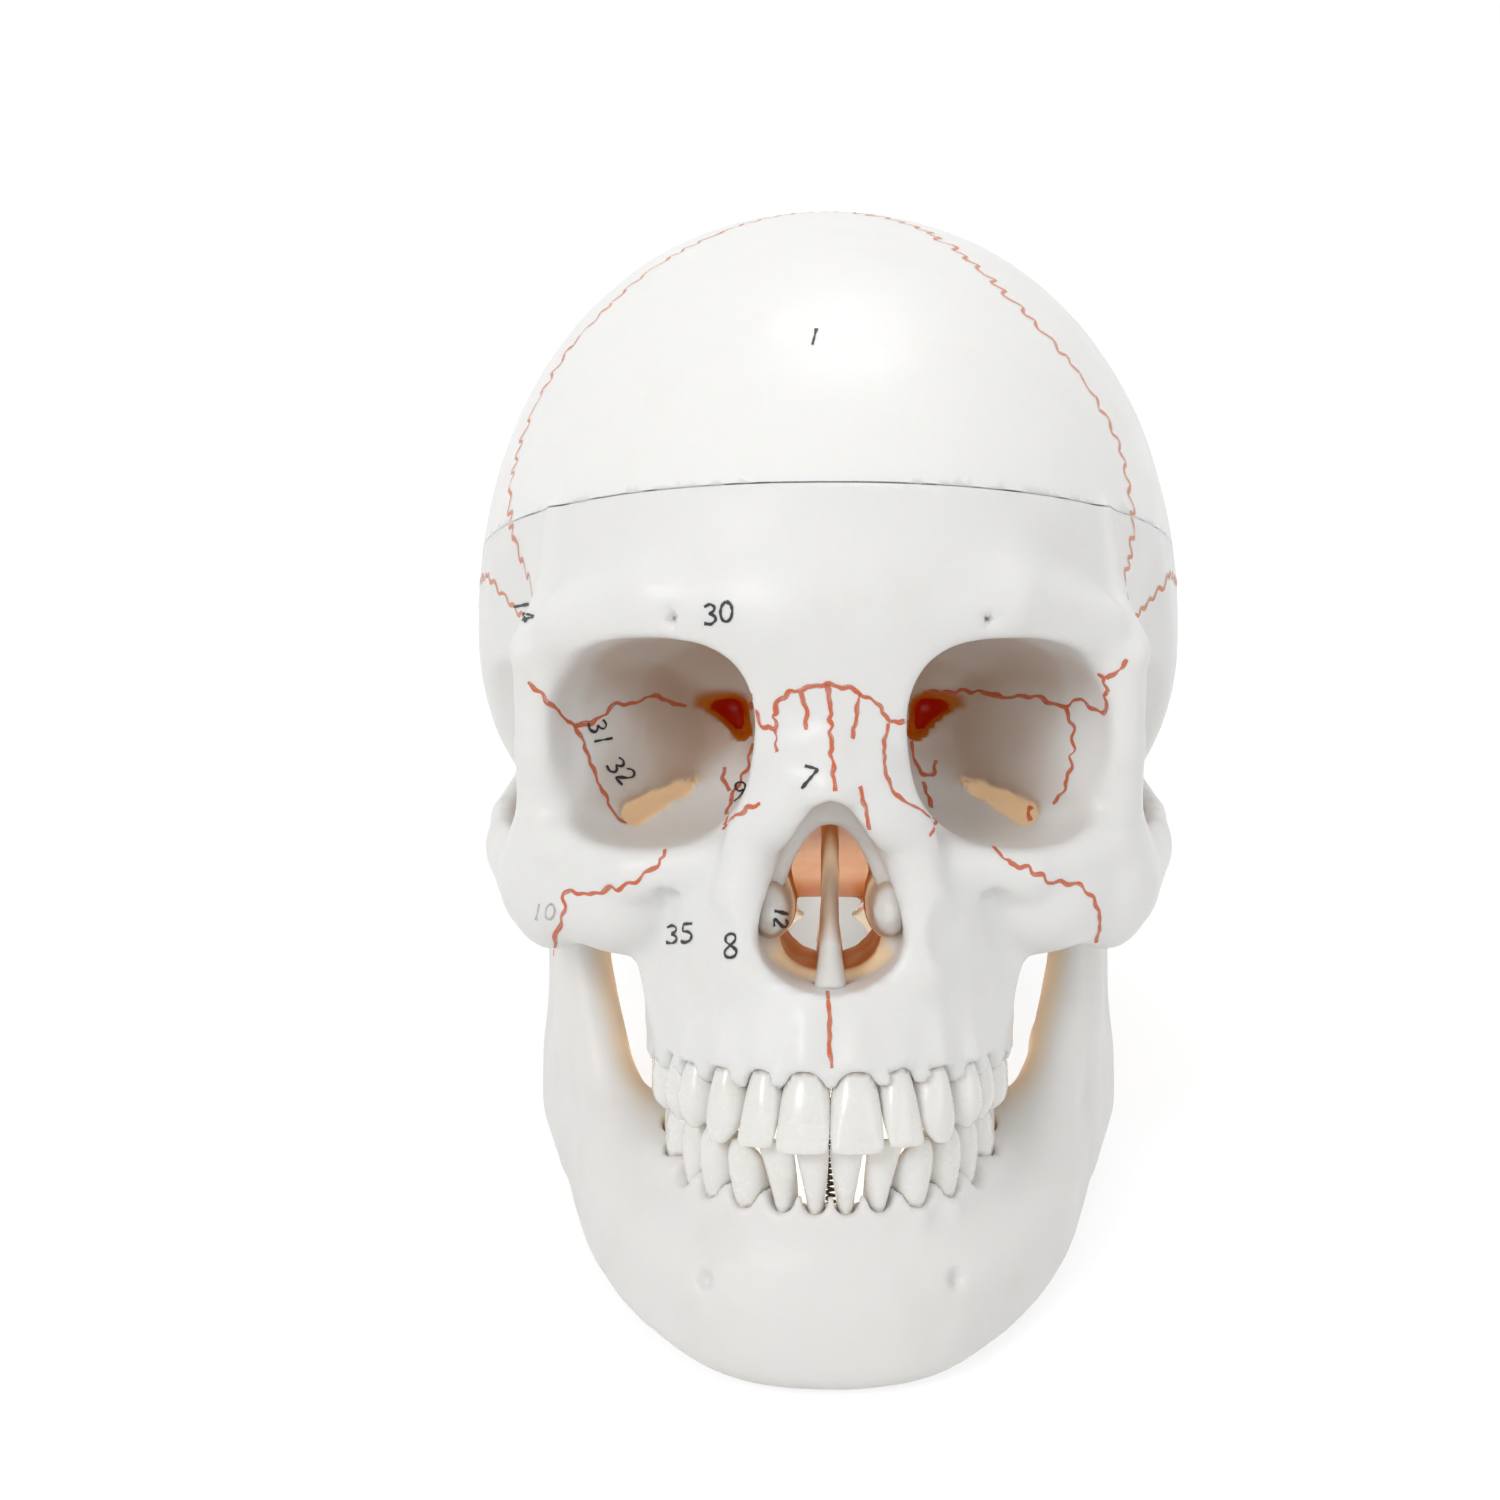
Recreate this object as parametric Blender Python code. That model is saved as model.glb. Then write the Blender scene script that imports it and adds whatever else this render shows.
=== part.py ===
"""Anatomical skull model at life size: base and face, lift-off cap, hinged jaw, teeth, septum, spring.

Metres, +Z up, face towards -Y. The bones are modelled in the head's own frame, whose origin is midway
between the ear openings and whose floor is the ear-eye plane, and then leaned back on the chin and the
back of the head, the way the skull rests on a table. The origin is under the middle of the model.
"""
import math

import bpy
import bmesh
from mathutils import Matrix, Vector

# Driving sizes of the head
skull_height = 0.200
skull_breadth = 0.1330
skull_length = 0.1790
lean_angle = math.radians(19.5)
floor_drop = 0.0552

# Proportions of a standard head, as shares of its height; places and radii below are shares too
breadth_share = 0.665
length_share = 0.895

# Blends between neighbouring forms, from the widest to the sharpest
wide_blend = 0.0220
soft_blend = 0.0100
firm_blend = 0.0040
crisp_blend = 0.0016

# Walls, gaps and the cap's cut
wall = 0.0045
fit_gap = 0.0003
insert_gap = 0.0005
socket_gap = 0.0003
joint_gap = 0.0012
cap_cut_height = 0.0573
cap_cut_reach = 0.0900
cap_cut_slope = 0.130

# Fineness of the moulded bones and the triangles that they keep
voxel = 0.0020
speck = 0.00001
skull_face_budget = 6400
jaw_face_budget = 1900
round_sides = 12

# Braincase: centre, reaches and roundness of the egg
egg_centre_share = (0, 0.090, 0.155)
egg_front_share = 0.560
egg_back_share = 0.335
egg_up_share = 0.396
egg_down_share = 0.260
egg_roundness_share = 2.15

# Rounded masses that join the braincase before the temples are hollowed: centre, radii
BASE_BALL_SHARES = {
    "cerebellar_bulge": ((0.070, 0.180, -0.020), (0.180, 0.208, 0.198)),
    "mastoid": ((0.243, 0.062, -0.050), (0.048, 0.066, 0.096)),
    "occipital_condyle": ((0.058, 0.050, -0.108), (0.024, 0.048, 0.026)),
    "ethmoid": ((0, -0.320, 0.070), (0.070, 0.120, 0.120)),
    "maxilla": ((0.060, -0.318, -0.062), (0.080, 0.118, 0.108)),
    "pterygoid": ((0.078, -0.185, -0.095), (0.022, 0.040, 0.085)),
    "glabella": ((0, -0.425, 0.185), (0.085, 0.050, 0.050)),
}
BASE_ROD_SHARES = {
    "clivus": (((0, -0.260, 0.020), (0, -0.150, 0), (0, 0.000, -0.085)),
               (0.058, 0.058, 0.040)),
    "brow": (((0.045, -0.430, 0.178), (0.140, -0.412, 0.192), (0.222, -0.358, 0.170)),
             (0.030, 0.027, 0.022)),
}
temple_hollow_shares = ((0.345, -0.208, -0.008), (0.155, 0.140, 0.163))

# Masses of the cheek and the nose that join afterwards
FACE_BALL_SHARES = {
    "cheekbone": ((0.234, -0.290, -0.040), (0.044, 0.052, 0.066)),
    "cheek_root": ((0.170, -0.318, -0.050), (0.072, 0.058, 0.055)),
    "nasal_spine": ((0, -0.448, -0.112), (0.012, 0.026, 0.010)),
}
FACE_ROD_SHARES = {
    "orbit_outer_rim": (((0.236, -0.300, -0.010), (0.240, -0.328, 0.070), (0.238, -0.345, 0.150)),
                        (0.028, 0.023, 0.024)),
    "orbit_lower_rim": (((0.228, -0.325, -0.010), (0.160, -0.372, -0.030), (0.095, -0.398, -0.020)),
                        (0.026, 0.024, 0.022)),
    "nasal_bridge": (((0, -0.426, 0.140), (0, -0.440, 0.100), (0, -0.470, 0.046)),
                     (0.027, 0.023, 0.021)),
    "nasal_side": (((0.020, -0.432, 0.120), (0.032, -0.450, 0.060), (0.052, -0.444, 0.010)),
                   (0.020, 0.019, 0.018)),
    "nasal_process": (((0.044, -0.420, 0.120), (0.058, -0.432, 0.030),
                       (0.074, -0.428, -0.045), (0.070, -0.425, -0.105)),
                      (0.022, 0.022, 0.020, 0.024)),
}
cheek_arch_shares = ((0.264, -0.285, -0.048), (0.290, -0.190, -0.028),
                     (0.296, -0.110, -0.016), (0.284, 0.000, 0.004))
cheek_arch_radius_shares = (0.034, 0.026, 0.024, 0.030)
cheek_arch_flatness_share = 0.5

# Cranial cavity: level of its front floor, the slope in its middle, the side hollows of its floor
front_floor_share = 0.183
middle_floor_start_share = -0.205
clivus_share = (0, -0.140, 0.040)
clivus_slope_share = 0.775
middle_fossa_shares = ((0.155, -0.108, 0.085), (0.095, 0.098, 0.085))

# Holes through the base: great opening, ear canals, upper and lower fissures of the orbit
foramen_shares = ((0, 0.098, -0.110), (0.073, 0.086, 0.140))
ear_canal_shares = ((0.330, 0.015, -0.018), (0.225, 0.000, -0.022))
ear_canal_radius_share = 0.019
upper_fissure_shares = ((0.078, -0.260, 0.105), (0.105, -0.165, 0.110))
upper_fissure_radius_share = 0.014
lower_fissure_shares = ((0.135, -0.270, 0.010), (0.215, -0.225, -0.040))
lower_fissure_radius_share = 0.016
jaw_socket_room_shares = ((0.250, -0.040, 0.010), (0.070, 0.062, 0.050))
mouth_roof_shares = ((0, -0.300, -0.225), (0.096, 0.140, 0.072))
palate_level_share = -0.080

# Orbits: size of the rim, place of its centre, turn towards the apex, slant and squareness
orbit_half_width_share = 0.090
orbit_half_height = 0.0173
orbit_centre_out_share = 0.1515
orbit_centre_up = 0.0153
orbit_depth = 0.0330
orbit_mouth_depth = 0.0990
orbit_rim_share = (0, -0.380, 0)
orbit_turn_share = 0.28
orbit_slant_share = 0.10
orbit_squareness_share = 2.6

# Nose: pear-shaped opening, reach of the passage and its sloping roof
nose_half_width_share = 0.059
nose_rise = 0.0205
nose_drop = 0.0100
nose_centre_drop = 0.0135
nose_centre_share = (0, -0.320, 0)
nose_reach_share = 2.0
nose_roundness_share = 1.75
nose_roof_share = (0, -0.380, 0.050)
nose_roof_slope_share = 0.55
septum_thickness = 0.0022
septum_outline_shares = ((0, -0.430, -0.126), (0, -0.190, -0.126), (0, -0.190, -0.040),
                         (0, -0.340, 0.045), (0, -0.462, 0.045))
concha_shares = ((0.057, -0.330, -0.052), (0.022, 0.085, 0.022))

# Jaw hinge: place and size of the right-hand condyle
condyle_out_share = 0.2415
condyle_back = -0.0097
condyle_up = -0.0030
condyle_width_share = 0.044
condyle_radius = 0.0045
jaw_opening = math.radians(20)

# Lower jaw: horseshoe base, plates behind it and chin
jaw_base_half_width_share = 0.219
jaw_base_front = -0.0850
jaw_base_back = -0.0050
jaw_base_power_share = 2.3
jaw_body_height = 0.0190
jaw_body_end_share = -0.060
jaw_wall = 0.0058
jaw_base_rounding = 0.0048
jaw_border_drop = 0.0877
jaw_border_slope = 0.385
JAW_ROD_SHARES = {
    "back_border": (((0.234, -0.062, -0.280), (0.239, -0.054, -0.080)), (0.022, 0.020)),
    "front_border": (((0.165, -0.290, -0.325), (0.194, -0.225, -0.230),
                      (0.216, -0.190, -0.120), (0.226, -0.178, -0.022)),
                     (0.030, 0.024, 0.018, 0.012)),
}
JAW_BALL_SHARES = {
    "ramus_plate": ((0.228, -0.122, -0.190), (0.022, 0.088, 0.125)),
    "angle": ((0.230, -0.077, -0.265), (0.022, 0.052, 0.048)),
    "chin": ((0, -0.420, -0.395), (0.105, 0.036, 0.040)),
}
neck_foot_share = (0.239, -0.054, -0.080)
neck_radius = 0.0040

# Dental arches: half width, reach of the front, start of the straight sides
upper_arch_half_width_share = 0.1275
upper_arch_front = -0.0905
upper_arch_back = -0.0540
lower_arch_half_width_share = 0.1185
lower_arch_front = -0.0880
lower_arch_back = -0.0520
arch_power_share = 2.3
arch_steps = 240

# Tooth ridges
upper_gum_level = -0.0362
lower_gum_level = -0.0596
upper_gum_slope = -0.024
lower_gum_slope = 0.080
upper_ridge_slant_share = 0.35
lower_ridge_slant_share = 0.20
upper_ridge_thickness = 0.0056
lower_ridge_thickness = 0.0052
ridge_rounding = 0.0024
upper_ridge_end_share = -0.200
lower_ridge_end_share = -0.215
lower_ridge_bottom = -0.0700

# Teeth: width of the upper central incisor, from which the others follow
incisor_width_share = 0.042
bite_level = -0.0482
root_depth = 0.0055
socket_mouth = 0.0025
tooth_spacing = 0.0002
tooth_sides = 8
contact_height_share = 0.75

# Width, depth, reach past the bite plane as shares of the incisor's width; outward lean; squareness
UPPER_TOOTH_SHARES = {
    "central_incisor": (1.00, 0.83, 0.095, 0.36, 2.0),
    "side_incisor": (0.77, 0.74, 0.024, 0.33, 2.0),
    "canine": (0.88, 0.92, 0.060, 0.22, 2.0),
    "first_premolar": (0.81, 1.04, -0.226, 0.10, 2.6),
    "second_premolar": (0.78, 1.04, -0.226, 0.08, 2.6),
    "first_molar": (1.17, 1.26, -0.226, 0.05, 3.0),
    "second_molar": (1.10, 1.24, -0.226, 0.05, 3.0),
    "third_molar": (0.98, 1.14, -0.226, 0.05, 3.0),
}
LOWER_TOOTH_SHARES = {
    "central_incisor": (0.62, 0.70, 0.110, 0.36, 2.0),
    "side_incisor": (0.69, 0.74, 0.110, 0.33, 2.0),
    "canine": (0.79, 0.88, 0.040, 0.22, 2.0),
    "first_premolar": (0.81, 0.88, 0.080, 0.05, 2.6),
    "second_premolar": (0.82, 0.95, 0.167, 0.02, 2.6),
    "first_molar": (1.28, 1.18, 0.167, 0, 3.0),
    "second_molar": (1.21, 1.15, 0.167, 0, 3.0),
    "third_molar": (1.15, 1.09, 0.167, 0, 3.0),
}
# Rings of a tooth from the root's tip to the edge: height, width and depth as shares
INCISOR_PROFILE_SHARES = ((-1.0, 0.42, 0.60), (0, 0.70, 0.88), (0.32, 0.88, 1.00),
                          (0.75, 0.99, 0.56), (1.0, 0.94, 0.18))
MOLAR_PROFILE_SHARES = ((-1.0, 0.60, 0.60), (0, 0.78, 0.84), (0.45, 0.97, 1.00),
                        (0.85, 0.94, 0.90), (1.0, 0.66, 0.56))
square_tooth_share = 2.3

# Jaw spring and its studs
spring_radius = 0.0014
spring_wire_radius = 0.00027
spring_pitch = 0.0010
spring_curl_points = 8
spring_offset = 0.0005
spring_low_along = -0.0780
spring_low_up = -0.0715
spring_high_along = -0.0630
spring_high_up = -0.0335
stud_head_radius = 0.0017
stud_head_thickness = 0.0009
stud_shank_radius = 0.0009
stud_shank_length = 0.0050
stud_nose_radius = 0.0008
stud_nose_length = 0.0012
stud_recess = 0.0120

# Rim pins between the base and the cap: directions in plan, counted from the brow
pin_radius = 0.0010
pin_length = 0.0070
pin_inset = 0.0014
pin_boss_radius = 0.0046
pin_angles = {"front": math.radians(0), "left": math.radians(128), "right": math.radians(-128)}
rim_search_steps = 24

# Boxes that hold the moulded bones while they are formed
skull_low_share = (-0.360, -0.530, -0.240)
skull_high_share = (0.360, 0.450, 0.580)
jaw_low_share = (-0.330, -0.500, -0.490)
jaw_high_share = (0.330, 0.020, 0.050)


def at(share):
    """Turn a place or a set of radii given in shares of the head into metres."""
    across, along, up = share
    return Vector((across * skull_breadth / breadth_share,
                   along * skull_length / length_share,
                   up * skull_height))


def along(share):
    """Turn one share of the head's height into metres."""
    return share * skull_height


def across(share):
    """Turn one sideways share into metres."""
    return at((share, 0, 0)).x


def clear_scene():
    """Remove every object of the scene, so that the model stands alone."""
    for thing in list(bpy.data.objects):
        bpy.data.objects.remove(thing, do_unlink=True)


class Clay:
    """A Geometry Nodes tree that holds a solid as its distance at every point of space.

    The right-hand side stands for both sides, because the point is folded over the middle plane.
    """

    def __init__(self, name):
        self.name = name
        self.tree = bpy.data.node_groups.new(name, "GeometryNodeTree")
        self.tree.interface.new_socket("Geometry", in_out="OUTPUT", socket_type="NodeSocketGeometry")
        position = self.tree.nodes.new("GeometryNodeInputPosition")
        parts = self.tree.nodes.new("ShaderNodeSeparateXYZ")
        self.tree.links.new(position.outputs[0], parts.inputs[0])
        self.side = self.number("ABSOLUTE", parts.outputs[0])
        self.along = parts.outputs[1]
        self.up = parts.outputs[2]
        self.point = self.vector_of(self.side, self.along, self.up)

    def fill(self, node, values):
        """Link or set the inputs of one node."""
        for socket, value in zip(node.inputs, values):
            if isinstance(value, bpy.types.NodeSocket):
                self.tree.links.new(value, socket)
            else:
                socket.default_value = value

    def number(self, operation, *values):
        """One Math node."""
        node = self.tree.nodes.new("ShaderNodeMath")
        node.operation = operation
        self.fill(node, values)
        return node.outputs[0]

    def vector(self, operation, *values):
        """One Vector Math node."""
        node = self.tree.nodes.new("ShaderNodeVectorMath")
        node.operation = operation
        self.fill(node, values)
        if operation in ("LENGTH", "DOT_PRODUCT"):
            return node.outputs["Value"]
        return node.outputs[0]

    def vector_of(self, across, along_, up):
        """Put three numbers together as a point."""
        node = self.tree.nodes.new("ShaderNodeCombineXYZ")
        self.fill(node, (across, along_, up))
        return node.outputs[0]

    def stretch(self, vector, factor):
        """Multiply a vector by a number."""
        node = self.tree.nodes.new("ShaderNodeVectorMath")
        node.operation = "SCALE"
        self.fill(node, (vector,))
        self.tree.links.new(factor, node.inputs["Scale"])
        return node.outputs[0]

    def ball(self, centre, radii):
        """An ellipsoid."""
        offset = self.vector("SUBTRACT", self.point, centre)
        unit = self.vector("DIVIDE", offset, radii)
        reach = self.vector("LENGTH", unit)
        slope = self.vector("LENGTH", self.vector("DIVIDE", unit, radii))
        outside = self.number("SUBTRACT", reach, 1.0)
        return self.number("DIVIDE", self.number("MULTIPLY", reach, outside), slope)

    def egg(self, centre, side, front, back, up, down, power, across=None):
        """An egg with its own reach in each direction; a power above 2 makes it boxy."""
        across = self.side if across is None else across
        out = self.number("ABSOLUTE", self.number("SUBTRACT", across, centre[0]))
        rear = self.number("SUBTRACT", self.along, centre[1])
        rise = self.number("SUBTRACT", self.up, centre[2])
        unit_out = self.number("DIVIDE", out, side)
        unit_along = self.number("MAXIMUM", self.number("DIVIDE", rear, -front),
                                 self.number("DIVIDE", rear, back))
        unit_up = self.number("MAXIMUM", self.number("DIVIDE", rise, up),
                              self.number("DIVIDE", rise, -down))
        total = self.number("ADD", self.number("POWER", unit_out, power),
                            self.number("POWER", unit_along, power))
        total = self.number("ADD", total, self.number("POWER", unit_up, power))
        reach = self.number("MAXIMUM", self.number("POWER", total, 1 / power), speck)
        length = self.vector("LENGTH", self.vector_of(out, rear, rise))
        return self.number("SUBTRACT", length, self.number("DIVIDE", length, reach))

    def rod(self, points, radii, flatness=1.0):
        """A chain of tapered rods; flatness below 1 thins it from side to side."""
        squash = Vector((flatness, 1, 1))
        place = self.vector("DIVIDE", self.point, squash)
        result = None
        for start, end, start_radius, end_radius in zip(points, points[1:], radii, radii[1:]):
            low = Vector([value / factor for value, factor in zip(start, squash)])
            run = Vector([value / factor for value, factor in zip(end, squash)]) - low
            offset = self.vector("SUBTRACT", place, low)
            travel = self.number("DIVIDE", self.vector("DOT_PRODUCT", offset, run), run.length_squared)
            travel = self.number("MINIMUM", self.number("MAXIMUM", travel, 0.0), 1.0)
            nearest = self.stretch(self.vector("ADD", (0, 0, 0), run), travel)
            distance = self.vector("LENGTH", self.vector("SUBTRACT", offset, nearest))
            radius = self.number("MULTIPLY_ADD", travel, end_radius - start_radius, start_radius)
            piece = self.number("SUBTRACT", distance, radius)
            result = piece if result is None else self.number("SMOOTH_MIN", result, piece, crisp_blend)
        return result

    def plane(self, point, normal):
        """Negative on the side that the normal points away from."""
        offset = self.vector("SUBTRACT", self.point, point)
        return self.vector("DOT_PRODUCT", offset, Vector(normal).normalized())

    def arch_distance(self, half_width, front, back, power, level=0.0, slant=0.0):
        """Distance in plan to a horseshoe line that is open to the back and slants back with height."""
        shift = self.number("MULTIPLY", self.number("SUBTRACT", self.up, level), slant)
        place = self.number("SUBTRACT", self.along, shift)
        forward = self.number("MAXIMUM", self.number("SUBTRACT", back, place), 0.0)
        side = self.number("MAXIMUM", self.side, speck)
        unit_out = self.number("POWER", self.number("DIVIDE", side, half_width), power)
        unit_along = self.number("POWER", self.number("DIVIDE", forward, back - front), power)
        reach = self.number("POWER", self.number("ADD", unit_out, unit_along), 1 / power)
        length = self.vector("LENGTH", self.vector_of(side, forward, 0.0))
        return self.number("SUBTRACT", length, self.number("DIVIDE", length, reach))

    def fence(self, distance, low, high, half_thickness, rounding):
        """An upright wall of rounded section that follows a line in plan."""
        flat = self.number("MAXIMUM", self.number("SUBTRACT", self.number("ABSOLUTE", distance),
                                                  half_thickness - rounding), 0.0)
        under = self.number("SUBTRACT", self.number("ADD", low, rounding), self.up)
        over = self.number("SUBTRACT", self.up, self.number("SUBTRACT", high, rounding))
        rise = self.number("MAXIMUM", self.number("MAXIMUM", under, over), 0.0)
        return self.number("SUBTRACT", self.vector("LENGTH", self.vector_of(flat, rise, 0.0)), rounding)

    def join(self, first, second, blend):
        """Add one form to another with a smooth blend."""
        return self.number("SMOOTH_MIN", first, second, blend)

    def keep(self, first, second, blend):
        """Keep what two forms share."""
        return self.number("SMOOTH_MAX", first, second, blend)

    def cut(self, first, second, blend):
        """Take one form away from another with a smooth edge."""
        return self.number("SMOOTH_MAX", first, self.number("MULTIPLY", second, -1.0), blend)

    def solid(self, distance, low, high, cell):
        """Turn the distance into the mesh of the solid's skin."""
        density = self.number("SUBTRACT", 1.0, self.number("DIVIDE", distance, cell))
        cube = self.tree.nodes.new("GeometryNodeVolumeCube")
        self.tree.links.new(density, cube.inputs["Density"])
        cube.inputs["Min"].default_value = low
        cube.inputs["Max"].default_value = high
        for label, start, end in zip("XYZ", low, high):
            cube.inputs["Resolution " + label].default_value = round((end - start) / cell) + 1
        skin = self.tree.nodes.new("GeometryNodeVolumeToMesh")
        skin.inputs["Threshold"].default_value = 1.0
        self.tree.links.new(cube.outputs[0], skin.inputs[0])
        output = self.tree.nodes.new("NodeGroupOutput")
        self.tree.links.new(skin.outputs[0], output.inputs[0])
        carrier = bpy.data.objects.new(self.name, bpy.data.meshes.new(self.name))
        bpy.context.collection.objects.link(carrier)
        carrier.modifiers.new("Clay", "NODES").node_group = self.tree
        mesh = bpy.data.meshes.new_from_object(carrier.evaluated_get(bpy.context.evaluated_depsgraph_get()))
        bpy.data.objects.remove(carrier)
        return mesh


def braincase(clay, inset):
    """The egg of the braincase, drawn in by a wall."""
    reach = at((0, egg_front_share, egg_up_share))
    rear = at((0, egg_back_share, egg_down_share))
    return clay.egg(at(egg_centre_share), skull_breadth / 2 - inset, reach.y - inset, rear.y - inset,
                    reach.z - inset, rear.z - inset, egg_roundness_share)


def add_balls(clay, solid, table, blend):
    """Join every rounded mass of a table."""
    for centre, radii in table.values():
        solid = clay.join(solid, clay.ball(at(centre), at(radii)), blend)
    return solid


def add_rods(clay, solid, table, blend):
    """Join every chain of rods of a table."""
    for points, radii in table.values():
        rod = clay.rod([at(point) for point in points], [along(radius) for radius in radii])
        solid = clay.join(solid, rod, blend)
    return solid


def cranial_cavity(clay):
    """The hollow of the braincase, with its front, middle and rear floors."""
    inner = braincase(clay, wall)
    centre, radii = BASE_BALL_SHARES["cerebellar_bulge"]
    inner_bulge = clay.ball(at(centre), at(radii) - Vector((wall, wall, wall)))
    front = clay.plane(at((0, 0, front_floor_share)), (0, 0, -1))
    slope = clay.plane(at(clivus_share), (0, -clivus_slope_share, -1))
    middle = clay.keep(slope, clay.plane(at((0, middle_floor_start_share, 0)), (0, -1, 0)), firm_blend)
    hollow = clay.keep(inner, front, firm_blend)
    hollow = clay.join(hollow, clay.keep(inner, middle, firm_blend), firm_blend)
    temple_centre, temple_radii = temple_hollow_shares
    temple = clay.ball(at(temple_centre), at(temple_radii) + Vector((wall, wall, wall)))
    fossa_centre, fossa_radii = middle_fossa_shares
    hollow = clay.join(hollow, clay.ball(at(fossa_centre), at(fossa_radii)), firm_blend)
    hollow = clay.join(hollow, inner_bulge, crisp_blend)
    hollow = clay.cut(hollow, temple, crisp_blend)
    for angle in pin_angles.values():
        if angle >= 0:
            boss = Vector((pin_boss_radius, pin_boss_radius, pin_boss_radius))
            hollow = clay.cut(hollow, clay.ball(rim_place(angle), boss), crisp_blend)
    room_centre, room_radii = jaw_socket_room_shares
    return clay.cut(hollow, clay.ball(at(room_centre), at(room_radii)), firm_blend)


def orbit_cavity(clay):
    """The eye socket: boxy at its rim, running back and inwards to its apex."""
    centre = Vector((across(orbit_centre_out_share), at(orbit_rim_share).y, orbit_centre_up))
    back = clay.number("MAXIMUM", clay.number("SUBTRACT", clay.along, centre.y), 0.0)
    aside = clay.number("MULTIPLY_ADD", back, orbit_turn_share, clay.side)
    rise = clay.number("SUBTRACT", clay.up, centre.z)
    aside = clay.number("MULTIPLY_ADD", rise, orbit_slant_share, aside)
    return clay.egg(centre, across(orbit_half_width_share), orbit_mouth_depth, orbit_depth,
                    orbit_half_height, orbit_half_height, orbit_squareness_share, aside)


def nasal_passage(clay):
    """The pear-shaped nasal opening and the passage behind it, through to the back of the palate."""
    centre = Vector((0, at(nose_centre_share).y, -nose_centre_drop))
    reach = at((0, nose_reach_share, 0)).y
    pear = clay.egg(centre, across(nose_half_width_share), reach, reach,
                    nose_rise, nose_drop, nose_roundness_share)
    roof = clay.plane(at(nose_roof_share), (0, nose_roof_slope_share, 1))
    return clay.keep(pear, roof, firm_blend)


def skull_clay():
    """The whole skull without its jaw, as one hollow moulding."""
    clay = Clay("skull_clay")
    solid = braincase(clay, 0)
    solid = add_balls(clay, solid, BASE_BALL_SHARES, soft_blend)
    solid = add_rods(clay, solid, BASE_ROD_SHARES, soft_blend)
    hollow_centre, hollow_radii = temple_hollow_shares
    solid = clay.cut(solid, clay.ball(at(hollow_centre), at(hollow_radii)), firm_blend)
    solid = add_balls(clay, solid, FACE_BALL_SHARES, firm_blend)
    solid = add_rods(clay, solid, FACE_ROD_SHARES, firm_blend)
    gum = clay.arch_distance(across(upper_arch_half_width_share), upper_arch_front, upper_arch_back,
                             arch_power_share, upper_gum_level, upper_ridge_slant_share)
    ridge = clay.fence(gum, upper_gum_level, at((0, 0, palate_level_share)).z,
                       upper_ridge_thickness, ridge_rounding)
    ridge = clay.keep(ridge, clay.plane(at((0, upper_ridge_end_share, 0)), (0, 1, 0)), crisp_blend)
    solid = clay.join(solid, ridge, firm_blend)
    arch = clay.rod([at(point) for point in cheek_arch_shares],
                    [along(radius) for radius in cheek_arch_radius_shares], cheek_arch_flatness_share)
    solid = clay.join(solid, arch, crisp_blend)
    solid = clay.cut(solid, orbit_cavity(clay), crisp_blend)
    solid = clay.cut(solid, nasal_passage(clay), crisp_blend)
    roof_centre, roof_radii = mouth_roof_shares
    solid = clay.cut(solid, clay.ball(at(roof_centre), at(roof_radii)), crisp_blend)
    solid = clay.cut(solid, cranial_cavity(clay), crisp_blend)
    solid = clay.cut(solid, foramen_magnum(clay), crisp_blend)
    for points, radius_share in ((upper_fissure_shares, upper_fissure_radius_share),
                                 (lower_fissure_shares, lower_fissure_radius_share),
                                 (ear_canal_shares, ear_canal_radius_share)):
        hole = clay.rod([at(point) for point in points], [along(radius_share)] * len(points))
        solid = clay.cut(solid, hole, crisp_blend)
    condyle = Vector((across(condyle_out_share), condyle_back, condyle_up))
    room = Vector((across(condyle_width_share) + joint_gap,
                   condyle_radius + joint_gap, condyle_radius + joint_gap))
    solid = clay.cut(solid, clay.ball(condyle, room), crisp_blend)
    swing = Matrix.Rotation(jaw_opening, 3, "X") @ (at(neck_foot_share) - condyle)
    swept = clay.rod([condyle, condyle + swing], [condyle_radius + joint_gap] * 2)
    solid = clay.cut(solid, swept, crisp_blend)
    return clay.solid(solid, at(skull_low_share), at(skull_high_share), voxel)


def foramen_magnum(clay):
    """The great opening under the braincase, as an upright oval shaft."""
    centre, radii = foramen_shares
    return clay.ball(at(centre), at(radii))


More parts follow.
